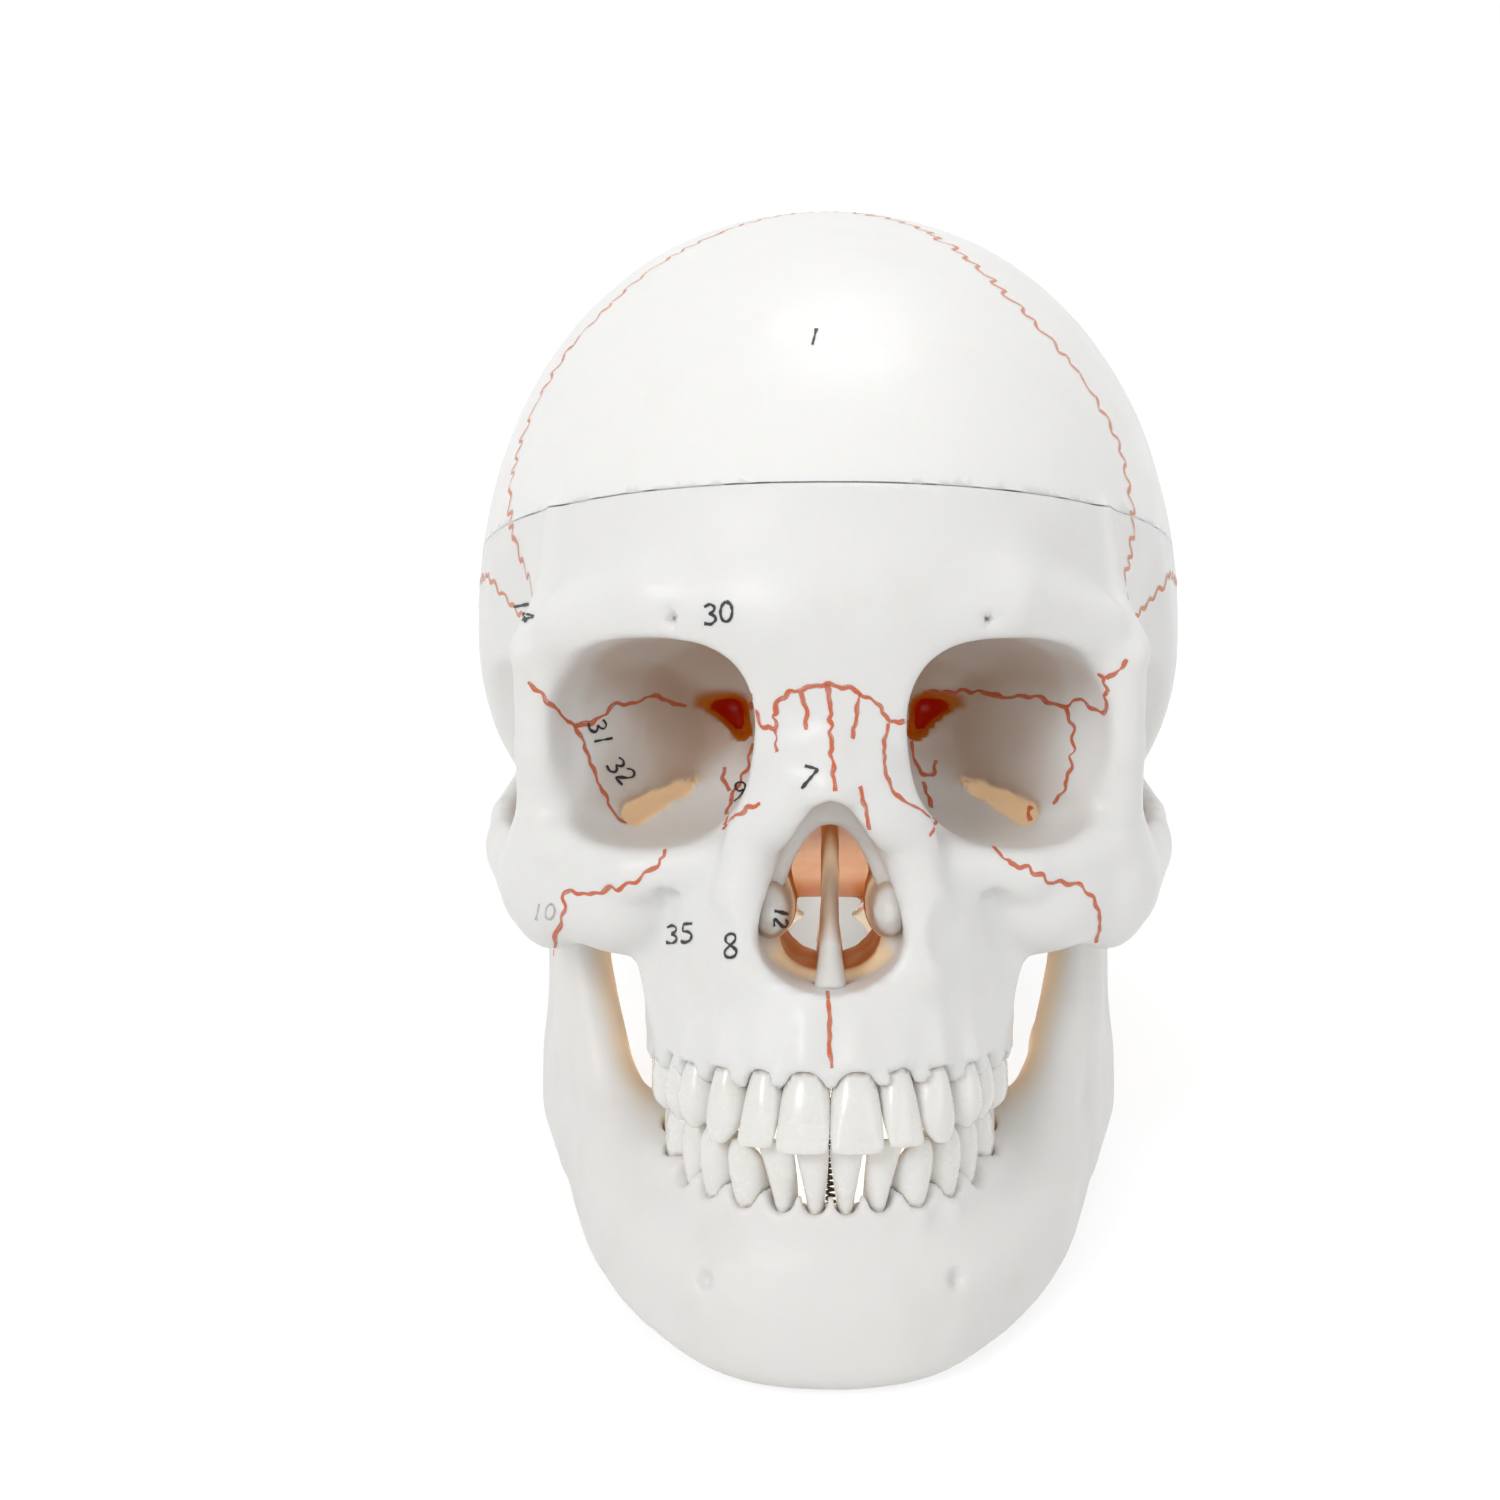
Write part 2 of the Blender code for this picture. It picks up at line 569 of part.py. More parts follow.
def jaw_clay():
    """The lower jaw: base, tooth ridge, two rami with their condyles, and the chin."""
    clay = Clay("jaw_clay")
    base_line = clay.arch_distance(across(jaw_base_half_width_share), jaw_base_front, jaw_base_back,
                                   jaw_base_power_share)
    low = clay.number("MULTIPLY_ADD", clay.number("SUBTRACT", clay.along, jaw_base_front),
                      jaw_border_slope, -jaw_border_drop)
    high = clay.number("ADD", low, jaw_body_height)
    body = clay.fence(base_line, low, high, jaw_wall, jaw_base_rounding)
    body = clay.keep(body, clay.plane(at((0, jaw_body_end_share, 0)), (0, 1, 0)), firm_blend)
    gum = clay.arch_distance(across(lower_arch_half_width_share), lower_arch_front, lower_arch_back,
                             arch_power_share, lower_gum_level, -lower_ridge_slant_share)
    ridge = clay.fence(gum, lower_ridge_bottom, lower_gum_level, lower_ridge_thickness, ridge_rounding)
    ridge = clay.keep(ridge, clay.plane(at((0, lower_ridge_end_share, 0)), (0, 1, 0)), firm_blend)
    jaw = clay.join(body, ridge, wide_blend)
    jaw = add_rods(clay, jaw, JAW_ROD_SHARES, soft_blend)
    jaw = add_balls(clay, jaw, JAW_BALL_SHARES, soft_blend)
    condyle = Vector((across(condyle_out_share), condyle_back, condyle_up))
    neck = clay.rod([at(neck_foot_share), condyle], [neck_radius, neck_radius])
    jaw = clay.join(jaw, neck, soft_blend)
    head = clay.ball(condyle, Vector((across(condyle_width_share), condyle_radius, condyle_radius)))
    jaw = clay.join(jaw, head, crisp_blend)
    return clay.solid(jaw, at(jaw_low_share), at(jaw_high_share), voxel)


def paint(name, color, roughness, metallic=0.0):
    """One Principled material."""
    material = bpy.data.materials.new(name)
    material.use_nodes = True
    shader = material.node_tree.nodes["Principled BSDF"]
    shader.inputs["Base Color"].default_value = (*color, 1)
    shader.inputs["Roughness"].default_value = roughness
    shader.inputs["Metallic"].default_value = metallic
    return material


def place_mesh(name, mesh, material, parent):
    """Make one named node from a mesh that is given in the head's frame."""
    node = bpy.data.objects.new(name, mesh)
    bpy.context.collection.objects.link(node)
    mesh.materials.clear()
    mesh.materials.append(material)
    node.parent = parent
    node.location = -parent_place(parent)
    return node


def parent_place(parent):
    """Where a parent empty stands in the head's frame."""
    return Vector(parent["place_in_head"])


def boolean(node, cutter, operation):
    """Cut or keep with another object, exactly."""
    modifier = node.modifiers.new(cutter.name, "BOOLEAN")
    modifier.operation = operation
    modifier.object = cutter
    modifier.solver = "EXACT"
    return modifier


def guide(name, mesh, parent):
    """A cutter: it is shown as wire and left out of the model."""
    node = bpy.data.objects.new(name, mesh)
    bpy.context.collection.objects.link(node)
    node.display_type = "WIRE"
    node.hide_render = True
    node.parent = parent
    node.location = -parent_place(parent)
    return node


def block_mesh(name, centre, size, turn=None):
    """A box, turned about its centre."""
    mesh = bpy.data.meshes.new(name)
    shape = bmesh.new()
    bmesh.ops.create_cube(shape, size=1)
    bmesh.ops.scale(shape, vec=size, verts=shape.verts)
    if turn is not None:
        bmesh.ops.transform(shape, matrix=turn, verts=shape.verts)
    bmesh.ops.translate(shape, vec=centre, verts=shape.verts)
    shape.to_mesh(mesh)
    shape.free()
    return mesh


def empty(name, place, parent=None):
    """An empty that carries a group of pieces and marks a joint."""
    node = bpy.data.objects.new(name, None)
    bpy.context.collection.objects.link(node)
    node["place_in_head"] = list(place)
    if parent is not None:
        node.parent = parent
        node.location = place - parent_place(parent)
    return node


def thinned(mesh, faces):
    """A copy of a moulded bone with about this many triangles."""
    carrier = bpy.data.objects.new(mesh.name, mesh)
    bpy.context.collection.objects.link(carrier)
    modifier = carrier.modifiers.new("Thin", "DECIMATE")
    modifier.ratio = min(1.0, faces / (2 * len(mesh.polygons)))
    result = bpy.data.meshes.new_from_object(carrier.evaluated_get(bpy.context.evaluated_depsgraph_get()))
    bpy.data.objects.remove(carrier)
    return result


def ring(radius_across, radius_deep, height, lean, squareness):
    """One closed ring of a tooth, round at squareness 2 and boxier above."""
    points = []
    for step in range(tooth_sides):
        turn = 2 * math.pi * step / tooth_sides
        across = math.copysign(abs(math.cos(turn)) ** (2 / squareness), math.cos(turn))
        deep = math.copysign(abs(math.sin(turn)) ** (2 / squareness), math.sin(turn))
        points.append(Vector((across * radius_across, deep * radius_deep + lean * height, height)))
    return points


def skin_rings(shape, rings):
    """Join rings into one closed skin with flat ends."""
    loops = [[shape.verts.new(point) for point in points] for points in rings]
    for lower, upper in zip(loops, loops[1:]):
        for index in range(len(lower)):
            following = (index + 1) % len(lower)
            shape.faces.new((lower[index], lower[following], upper[following], upper[index]))
    shape.faces.new(list(reversed(loops[0])))
    shape.faces.new(loops[-1])


def arch_line(half_width, front, back):
    """Points along one side of a dental arch, from the middle to far behind its straight part."""
    points = []
    for step in range(arch_steps + 1):
        turn = math.pi / 2 * step / arch_steps
        across = half_width * math.sin(turn) ** (2 / arch_power_share)
        points.append(Vector((across, back - (back - front) * math.cos(turn) ** (2 / arch_power_share), 0)))
    points.append(Vector((half_width, back - 2 * (front - back), 0)))
    return points


def arch_place(points, distance):
    """The point at this distance along a line, and the direction there."""
    for start, end in zip(points, points[1:]):
        step = (end - start).length
        if distance <= step:
            return start.lerp(end, distance / step), (end - start).normalized()
        distance -= step
    return points[-1], (points[-1] - points[-2]).normalized()


def tooth_rings(kind, crown, grow, root_only):
    """The rings of a tooth, grown by a clearance for its socket."""
    width, depth, lean, squareness = kind
    profile = MOLAR_PROFILE_SHARES if squareness > square_tooth_share else INCISOR_PROFILE_SHARES
    rings = []
    for height, across, deep in profile:
        level = height * (root_depth + grow) if height < 0 else height * crown
        if root_only and level > socket_mouth:
            break
        rings.append((across * width / 2 + grow, deep * depth / 2 + grow, level))
    if root_only:
        low = rings[-1]
        high = next(row for row in profile if row[0] * crown > socket_mouth)
        mix = (socket_mouth - low[2]) / (high[0] * crown - low[2])
        rings.append((low[0] + mix * (high[1] * width / 2 + grow - low[0]),
                      low[1] + mix * (high[2] * depth / 2 + grow - low[1]), socket_mouth))
    return [ring(across, deep, level, lean, squareness) for across, deep, level in rings]


def crown_line(half_width, front, back, gum_level, lean):
    """The line on which the crowns of one jaw touch, further forward than the gum because they lean."""
    return arch_line(half_width, front - lean * contact_height_share * abs(bite_level - gum_level), back)


def jaw_teeth(jaw_name, kinds, line, gum_level, gum_slope, upward):
    """Name, tooth skin and socket skin of every tooth of one jaw."""
    teeth = []
    travel = 0
    incisor_width = (across(incisor_width_share) + at((0, incisor_width_share, 0)).y) / 2
    for name, (width_share, depth_share, reach_share, lean, squareness) in kinds.items():
        width = width_share * incisor_width
        kind = (width, depth_share * incisor_width, lean, squareness)
        place, direction = arch_place(line, travel + width / 2)
        travel += width + tooth_spacing
        gum = gum_level + gum_slope * (place.y - line[0].y)
        crown = abs(bite_level + upward * reach_share * incisor_width - gum)
        outward = Vector((direction.y, -direction.x, 0))
        frame = Matrix((direction, outward, Vector((0, 0, upward)))).transposed().to_4x4()
        place = place - outward * lean * contact_height_share * crown
        frame.translation = Vector((place.x, place.y, gum))
        for side, mark in (("left", 1), ("right", -1)):
            mirror = Matrix.Diagonal((mark, 1, 1, 1))
            for grow, root_only, target in ((0, False, "tooth"), (socket_gap, True, "socket")):
                shape = bmesh.new()
                skin_rings(shape, tooth_rings(kind, crown, grow, root_only))
                bmesh.ops.transform(shape, matrix=mirror @ frame, verts=shape.verts)
                bmesh.ops.recalc_face_normals(shape, faces=shape.faces)
                teeth.append((f"{jaw_name}_{name}_{side}", target, shape))
    return teeth


def mesh_of(shape, name):
    """Turn a bmesh into a mesh and free it."""
    mesh = bpy.data.meshes.new(name)
    shape.to_mesh(mesh)
    shape.free()
    return mesh


def joined_mesh(shapes, name):
    """Several separate bodies in one mesh."""
    whole = bmesh.new()
    for shape in shapes:
        piece = mesh_of(shape, name)
        whole.from_mesh(piece)
        bpy.data.meshes.remove(piece)
    return mesh_of(whole, name)


def turned(name, profile, start, direction, sides=round_sides):
    """A turned piece: rings of (distance, radius) along a direction from a start."""
    shape = bmesh.new()
    axis = direction.normalized()
    side = Vector((1, 0, 0))
    other = axis.cross(side).normalized()
    rings = []
    for distance, radius in profile:
        points = []
        for step in range(sides):
            turn = 2 * math.pi * step / sides
            spoke = side * math.cos(turn) + other * math.sin(turn)
            points.append(start + axis * distance + spoke * radius)
        rings.append(points)
    skin_rings(shape, rings)
    bmesh.ops.recalc_face_normals(shape, faces=shape.faces)
    return shape


def pin_rings(grow):
    """Rings of a rim pin, or of its hole when grown."""
    return [(-grow, pin_radius + grow), (pin_length + grow, pin_radius + grow)]


def cap_plane():
    """A point on the cut under the cap and the cut's upward normal."""
    return Vector((0, -cap_cut_reach, cap_cut_height)), Vector((0, cap_cut_slope, 1)).normalized()


def rim_place(angle):
    """The middle of the wall on the cap's cut, in a direction given in plan from the brow."""
    point, normal = cap_plane()
    centre = at(egg_centre_share)
    half = wall / 2
    reach_x = skull_breadth / 2 - half
    reach_y = at((0, egg_front_share if math.cos(angle) > 0 else egg_back_share, 0)).y - half
    reach_z = at((0, 0, egg_up_share)).z - half
    direction = Vector((math.sin(angle), -math.cos(angle), 0))
    distance = reach_y
    for _ in range(rim_search_steps):
        place = centre + direction * distance
        place.z = point.z - normal.y / normal.z * (place.y - point.y)
        across = abs(place.x / reach_x) ** egg_roundness_share
        across += abs((place.y - centre.y) / reach_y) ** egg_roundness_share
        rise = 1 - abs((place.z - centre.z) / reach_z) ** egg_roundness_share
        distance *= (rise / across) ** (1 / egg_roundness_share)
    return place - direction * pin_inset


def spring_axis():
    """Where the two stud heads face each other, and the direction from the lower to the upper one."""
    low = Vector((spring_offset, spring_low_along, spring_low_up))
    high = Vector((spring_offset, spring_high_along, spring_high_up))
    return low, high, (high - low).normalized()


def spring_points():
    """The line of the spring's wire: straight ends, and close turns between them."""
    low, high, axis = spring_axis()
    side = Vector((1, 0, 0))
    other = axis.cross(side).normalized()
    wire = 2 * spring_wire_radius
    start = fit_gap + wire
    length = (high - low).length - 2 * start
    turns = round(length / spring_pitch)
    steps = turns * spring_curl_points
    line_radius = spring_radius - spring_wire_radius
    points = [low + axis * fit_gap + side * line_radius]
    for step in range(steps + 1):
        turn = 2 * math.pi * step / spring_curl_points
        points.append(low + axis * (start + length * step / steps)
                      + (side * math.cos(turn) + other * math.sin(turn)) * line_radius)
    points.append(high - axis * fit_gap + side * line_radius)
    least = min((first - second).length for index, first in enumerate(points)
                for second in points[index + spring_curl_points // 2:])
    print(f"jaw spring: {turns} turns, least gap between turns {1000 * (least - wire):.2f} mm")
    return points


def wire_node(name, points, radius, material, parent):
    """A wire as a bevelled curve with closed ends."""
    curve = bpy.data.curves.new(name, "CURVE")
    curve.dimensions = "3D"
    curve.bevel_depth = radius
    curve.bevel_resolution = 1
    curve.use_fill_caps = True
    spline = curve.splines.new("POLY")
    spline.points.add(len(points) - 1)
    for target, point in zip(spline.points, points):
        target.co = (*point, 1)
    return place_mesh(name, curve, material, parent)


def stud_profile(grow, recess):
    """Rings of a spring stud from the tip of its shank to its nose; grown, it is the hole for it."""
    rings = [(-stud_head_thickness - stud_shank_length - grow, stud_shank_radius + grow),
             (-stud_head_thickness - grow, stud_shank_radius + grow),
             (-stud_head_thickness - grow, stud_head_radius + grow)]
    if recess:
        return rings + [(recess, stud_head_radius + grow)]
    return rings + [(0, stud_head_radius), (0, stud_nose_radius), (stud_nose_length, stud_nose_radius)]


def septum_shape():
    """The upright plate of the nose, before it is trimmed to the bone around it."""
    shape = bmesh.new()
    outline = [at(share) for share in septum_outline_shares]
    rings = [[point + Vector((mark * septum_thickness / 2, 0, 0)) for point in outline] for mark in (-1, 1)]
    skin_rings(shape, rings)
    bmesh.ops.recalc_face_normals(shape, faces=shape.faces)
    return shape


def concha_shape(mark):
    """One scroll of the nose, before it is trimmed to the bone around it."""
    shape = bmesh.new()
    bmesh.ops.create_uvsphere(shape, u_segments=round_sides, v_segments=round_sides // 2, radius=1)
    centre, radii = (at(share) for share in concha_shares)
    bmesh.ops.transform(shape, matrix=Matrix.Diagonal((*radii, 1)), verts=shape.verts)
    bmesh.ops.translate(shape, vec=Vector((mark * centre.x, centre.y, centre.z)), verts=shape.verts)
    return shape


def whole_box(nodes):
    """Lowest and highest corner of all pieces as they stand."""
    bpy.context.view_layer.update()
    graph = bpy.context.evaluated_depsgraph_get()
    points = []
    for node in nodes:
        final = node.evaluated_get(graph)
        mesh = final.to_mesh()
        points += [node.matrix_world @ corner.co for corner in mesh.vertices]
        final.to_mesh_clear()
    low = Vector([min(point[axis] for point in points) for axis in range(3)])
    high = Vector([max(point[axis] for point in points) for axis in range(3)])
    return low, high


def main():
    """Make every piece, join the moving ones to their empties and stand the skull on the ground."""
    clear_scene()
    bone = paint("bone", (0.80, 0.78, 0.74), 0.42)
    cap_bone = paint("cap_bone", (0.82, 0.80, 0.74), 0.36)
    jaw_bone = paint("jaw_bone", (0.80, 0.77, 0.73), 0.48)
    enamel = paint("enamel", (0.84, 0.83, 0.80), 0.22)
    inner_bone = paint("inner_bone", (0.55, 0.50, 0.45), 0.55)
    steel = paint("steel", (0.55, 0.55, 0.56), 0.35, 1.0)
    spring_steel = paint("spring_steel", (0.07, 0.05, 0.04), 0.45, 0.9)

    head = empty("head", Vector((0, 0, 0)))
    cut_point, cut_normal = cap_plane()
    cap_axis = empty("cap_axis", cut_point, head)
    jaw_axis = empty("jaw_axis", Vector((0, condyle_back, condyle_up)), head)

    skull_mesh = thinned(skull_clay(), skull_face_budget)
    jaw_mesh = thinned(jaw_clay(), jaw_face_budget)
    skull = place_mesh("skull_base", skull_mesh, bone, head)
    cap = place_mesh("calvaria", skull_mesh.copy(), cap_bone, cap_axis)
    jaw = place_mesh("mandible", jaw_mesh, jaw_bone, jaw_axis)
    nodes = [skull, cap, jaw]

    block = Vector((skull_length, skull_length, skull_length)) * 2
    tilt = Matrix.Rotation(-math.atan(cap_cut_slope), 4, "X")
    above_base = block_mesh("above_base", cut_point + cut_normal * block.z / 2, block, tilt)
    above_cap = block_mesh("above_cap", cut_point + cut_normal * (block.z / 2 + fit_gap), block, tilt)
    boolean(skull, guide("above_base", above_base, head), "DIFFERENCE")
    boolean(cap, guide("above_cap", above_cap, cap_axis), "INTERSECT")

    pins = []
    holes = []
    for name, angle in pin_angles.items():
        start = rim_place(angle) - cut_normal * pin_length / 2
        pins.append((name, turned(name, pin_rings(0), start, cut_normal)))
        holes.append(turned(name, pin_rings(fit_gap), start, cut_normal))
    hole_mesh = joined_mesh(holes, "pin_holes")
    boolean(skull, guide("pin_holes", hole_mesh, head), "DIFFERENCE")
    boolean(cap, guide("pin_holes_cap", hole_mesh.copy(), cap_axis), "DIFFERENCE")
    for name, shape in pins:
        nodes.append(place_mesh("rim_pin_" + name, mesh_of(shape, name), steel, head))

    upper_line = crown_line(across(upper_arch_half_width_share), upper_arch_front, upper_arch_back,
                            upper_gum_level, UPPER_TOOTH_SHARES["central_incisor"][3])
    lower_line = crown_line(across(lower_arch_half_width_share), lower_arch_front, lower_arch_back,
                            lower_gum_level, LOWER_TOOTH_SHARES["central_incisor"][3])
    for jaw_name, kinds, line, gum, slope, upward, carrier, parent in (
            ("upper", UPPER_TOOTH_SHARES, upper_line, upper_gum_level, upper_gum_slope, -1, skull, head),
            ("lower", LOWER_TOOTH_SHARES, lower_line, lower_gum_level, lower_gum_slope, 1, jaw, jaw_axis)):
        sockets = []
        for name, target, shape in jaw_teeth(jaw_name, kinds, line, gum, slope, upward):
            if target == "socket":
                sockets.append(shape)
            else:
                nodes.append(place_mesh(name, mesh_of(shape, name), enamel, parent))
        socket_mesh = joined_mesh(sockets, jaw_name + "_sockets")
        modifier = boolean(carrier, guide(jaw_name + "_sockets", socket_mesh, parent), "DIFFERENCE")
        modifier.use_self = True

    low, high, axis = spring_axis()
    for name, start, direction, carrier, parent in (("lower", low, axis, jaw, jaw_axis),
                                                    ("upper", high, -axis, skull, head)):
        stud = turned("stud", stud_profile(0, 0), start, direction)
        hole = turned("hole", stud_profile(fit_gap, stud_recess), start, direction)
        boolean(carrier, guide("stud_hole_" + name, mesh_of(hole, name), parent), "DIFFERENCE")
        nodes.append(place_mesh("spring_stud_" + name, mesh_of(stud, name), steel, parent))
    nodes.append(wire_node("jaw_spring", spring_points(), spring_wire_radius, spring_steel, head))

    swollen = guide("bone_room", skull_mesh.copy(), head)
    swell = swollen.modifiers.new("Swell", "DISPLACE")
    swell.strength = insert_gap
    swell.mid_level = 0
    inserts = (("nasal_septum", septum_shape()),
               ("concha_left", concha_shape(1)),
               ("concha_right", concha_shape(-1)))
    for name, shape in inserts:
        insert = place_mesh(name, mesh_of(shape, name), inner_bone, head)
        boolean(insert, swollen, "DIFFERENCE")
        nodes.append(insert)

    level = Matrix.Rotation(lean_angle, 4, "X")
    down = level @ Vector((0, 0, -1))
    ground = block_mesh("ground", down * (floor_drop + block.z / 2), block, level)
    boolean(skull, guide("ground", ground, head), "DIFFERENCE")
    boolean(jaw, guide("ground_jaw", ground.copy(), jaw_axis), "DIFFERENCE")

    head.rotation_euler = (-lean_angle, 0, 0)
    head.location = (0, 0, floor_drop)
    lowest, highest = whole_box(nodes)
    head.location.y = -(lowest.y + highest.y) / 2
    head.location.x = -(lowest.x + highest.x) / 2
    head.location.z = floor_drop - lowest.z
    print("box", [round(value, 4) for value in (highest - lowest)], "lowest", round(lowest.z, 5))


main()
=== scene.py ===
# %% [markdown]
# # A life-size teaching skull
# The object is a classroom skull cast in off-white PVC: a skull base with the face, a skullcap that
# lifts off along a sawn line, a lower jaw on a spring, and single teeth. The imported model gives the
# joints and the places. This notebook builds the surfaces that are looked at.

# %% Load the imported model
import math
import bpy
import bmesh
from mathutils import Matrix, Vector, noise
from mathutils.bvhtree import BVHTree
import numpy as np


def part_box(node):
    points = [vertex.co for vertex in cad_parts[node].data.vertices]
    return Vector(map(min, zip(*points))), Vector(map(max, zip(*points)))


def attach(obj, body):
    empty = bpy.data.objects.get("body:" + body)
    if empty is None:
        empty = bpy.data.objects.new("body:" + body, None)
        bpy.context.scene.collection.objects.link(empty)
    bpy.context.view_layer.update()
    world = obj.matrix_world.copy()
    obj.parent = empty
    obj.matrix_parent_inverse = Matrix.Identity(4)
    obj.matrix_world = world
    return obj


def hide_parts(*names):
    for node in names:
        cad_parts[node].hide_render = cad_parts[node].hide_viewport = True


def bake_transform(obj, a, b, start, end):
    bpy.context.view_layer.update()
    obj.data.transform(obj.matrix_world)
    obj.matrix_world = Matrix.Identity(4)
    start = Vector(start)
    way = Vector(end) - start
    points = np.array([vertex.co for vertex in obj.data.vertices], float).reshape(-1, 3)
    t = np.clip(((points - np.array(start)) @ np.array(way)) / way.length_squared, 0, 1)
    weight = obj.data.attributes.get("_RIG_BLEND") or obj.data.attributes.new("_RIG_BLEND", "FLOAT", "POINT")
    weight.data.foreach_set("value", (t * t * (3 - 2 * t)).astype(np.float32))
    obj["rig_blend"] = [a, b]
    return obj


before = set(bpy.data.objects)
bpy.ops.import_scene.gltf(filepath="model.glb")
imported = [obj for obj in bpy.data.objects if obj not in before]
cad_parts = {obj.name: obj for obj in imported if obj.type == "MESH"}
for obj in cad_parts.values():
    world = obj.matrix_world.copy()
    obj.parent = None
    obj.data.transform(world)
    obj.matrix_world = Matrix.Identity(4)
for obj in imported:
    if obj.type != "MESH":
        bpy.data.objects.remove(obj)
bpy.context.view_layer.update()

# %% [markdown]
# ## The head's own frame
# Anatomists measure a skull from the ear-eye plane. All forms below are given in that frame, as shares
# of the head's height, and the finished surfaces are then leaned back as the skull rests on a table.

# %% The head's frame
head_size = 0.200
head_lean = math.radians(19.5)
head_place = Vector((0, 0.009103, 0.0552))
to_world = Matrix.Translation(head_place) @ Matrix.Rotation(-head_lean, 4, "X")


def at(share):
    """A place or a set of radii in metres from shares of the head."""
    return Vector(share) * head_size


def along(share):
    """One length in metres from a share of the head."""
    return share * head_size


print("head height", head_size, "lean", round(math.degrees(head_lean), 1))

# %% [markdown]
# ## Clay
# A cast skull has no straight edges: every form melts into the next. The surfaces are therefore built
# as a distance field in Geometry Nodes. Each form gives its distance at every point of space, forms
# are joined and cut with a soft blend, and the level zero becomes the skin. Sizes that a user may want
# to change are inputs of the tree.

# %% A distance field made of nodes
wide_blend, soft_blend, firm_blend, crisp_blend, sharp_blend = 0.0220, 0.0100, 0.0040, 0.0016, 0.0009
speck = 0.00001


class Clay:
    """A solid as its distance; the right-hand half stands for both, because the point is folded."""

    def __init__(self, name):
        self.name = name
        self.values = {}
        self.tree = bpy.data.node_groups.new(name, "GeometryNodeTree")
        self.tree.interface.new_socket("Geometry", in_out="INPUT", socket_type="NodeSocketGeometry")
        self.tree.interface.new_socket("Geometry", in_out="OUTPUT", socket_type="NodeSocketGeometry")
        self.entry = self.tree.nodes.new("NodeGroupInput")
        self.place = self.tree.nodes.new("GeometryNodeInputPosition").outputs[0]
        parts = self.tree.nodes.new("ShaderNodeSeparateXYZ")
        self.tree.links.new(self.place, parts.inputs[0])
        self.side = self.number("ABSOLUTE", parts.outputs[0])
        self.along = parts.outputs[1]
        self.up = parts.outputs[2]
        self.point = self.vector_of(self.side, self.along, self.up)

    def size(self, name, value):
        """A named size of the tree."""
        self.tree.interface.new_socket(name, in_out="INPUT", socket_type="NodeSocketFloat")
        self.values[name] = value
        return self.entry.outputs[name]

    def fill(self, node, values):
        for socket, value in zip(node.inputs, values):
            if isinstance(value, bpy.types.NodeSocket):
                self.tree.links.new(value, socket)
            else:
                socket.default_value = value

    def number(self, operation, *values):
        node = self.tree.nodes.new("ShaderNodeMath")
        node.operation = operation
        self.fill(node, values)
        return node.outputs[0]

    def vector(self, operation, *values):
        node = self.tree.nodes.new("ShaderNodeVectorMath")
        node.operation = operation
        self.fill(node, values)
        return node.outputs["Value"] if operation in ("LENGTH", "DOT_PRODUCT") else node.outputs[0]

    def vector_of(self, across, along_, up):
        node = self.tree.nodes.new("ShaderNodeCombineXYZ")
        self.fill(node, (across, along_, up))
        return node.outputs[0]

    def stretch(self, vector, factor):
        node = self.tree.nodes.new("ShaderNodeVectorMath")
        node.operation = "SCALE"
        self.fill(node, (vector,))
        self.tree.links.new(factor, node.inputs["Scale"])
        return node.outputs[0]

    def ball(self, centre, radii):
        """An ellipsoid."""
        unit = self.vector("DIVIDE", self.vector("SUBTRACT", self.point, centre), radii)
        reach = self.vector("LENGTH", unit)
        slope = self.vector("LENGTH", self.vector("DIVIDE", unit, radii))
        outside = self.number("SUBTRACT", reach, 1.0)
        return self.number("DIVIDE", self.number("MULTIPLY", reach, outside), slope)

    def egg(self, centre, side, front, back, up, down, power, across=None):
        """An egg with its own reach in each direction; a power above 2 makes it boxy."""
        across = self.side if across is None else across
        out = self.number("ABSOLUTE", self.number("SUBTRACT", across, centre[0]))
        rear = self.number("SUBTRACT", self.along, centre[1])
        rise = self.number("SUBTRACT", self.up, centre[2])
        unit_along = self.number("MAXIMUM", self.number("DIVIDE", rear, -front),
                                 self.number("DIVIDE", rear, back))
        unit_up = self.number("MAXIMUM", self.number("DIVIDE", rise, up),
                              self.number("DIVIDE", self.number("MULTIPLY", rise, -1.0), down))
        total = self.number("ADD", self.number("POWER", self.number("DIVIDE", out, side), power),
                            self.number("POWER", unit_along, power))
        total = self.number("ADD", total, self.number("POWER", unit_up, power))
        reach = self.number("MAXIMUM", self.number("POWER", total, 1 / power), speck)
        length = self.vector("LENGTH", self.vector_of(out, rear, rise))
        return self.number("SUBTRACT", length, self.number("DIVIDE", length, reach))

    def rod(self, points, radii, flatness=1.0):
        """A chain of tapered rods; flatness below 1 thins it from side to side."""
        squash = Vector((flatness, 1, 1))
        place = self.vector("DIVIDE", self.point, squash)
        result = None
        for start, end, start_radius, end_radius in zip(points, points[1:], radii, radii[1:]):
            low = Vector([value / factor for value, factor in zip(start, squash)])
            run = Vector([value / factor for value, factor in zip(end, squash)]) - low
            offset = self.vector("SUBTRACT", place, low)
            travel = self.number("DIVIDE", self.vector("DOT_PRODUCT", offset, run), run.length_squared)
            travel = self.number("MINIMUM", self.number("MAXIMUM", travel, 0.0), 1.0)
            nearest = self.stretch(self.vector("ADD", (0, 0, 0), run), travel)
            distance = self.vector("LENGTH", self.vector("SUBTRACT", offset, nearest))
            radius = self.number("MULTIPLY_ADD", travel, end_radius - start_radius, start_radius)
            piece = self.number("SUBTRACT", distance, radius)
            result = piece if result is None else self.number("SMOOTH_MIN", result, piece, crisp_blend)
        return result

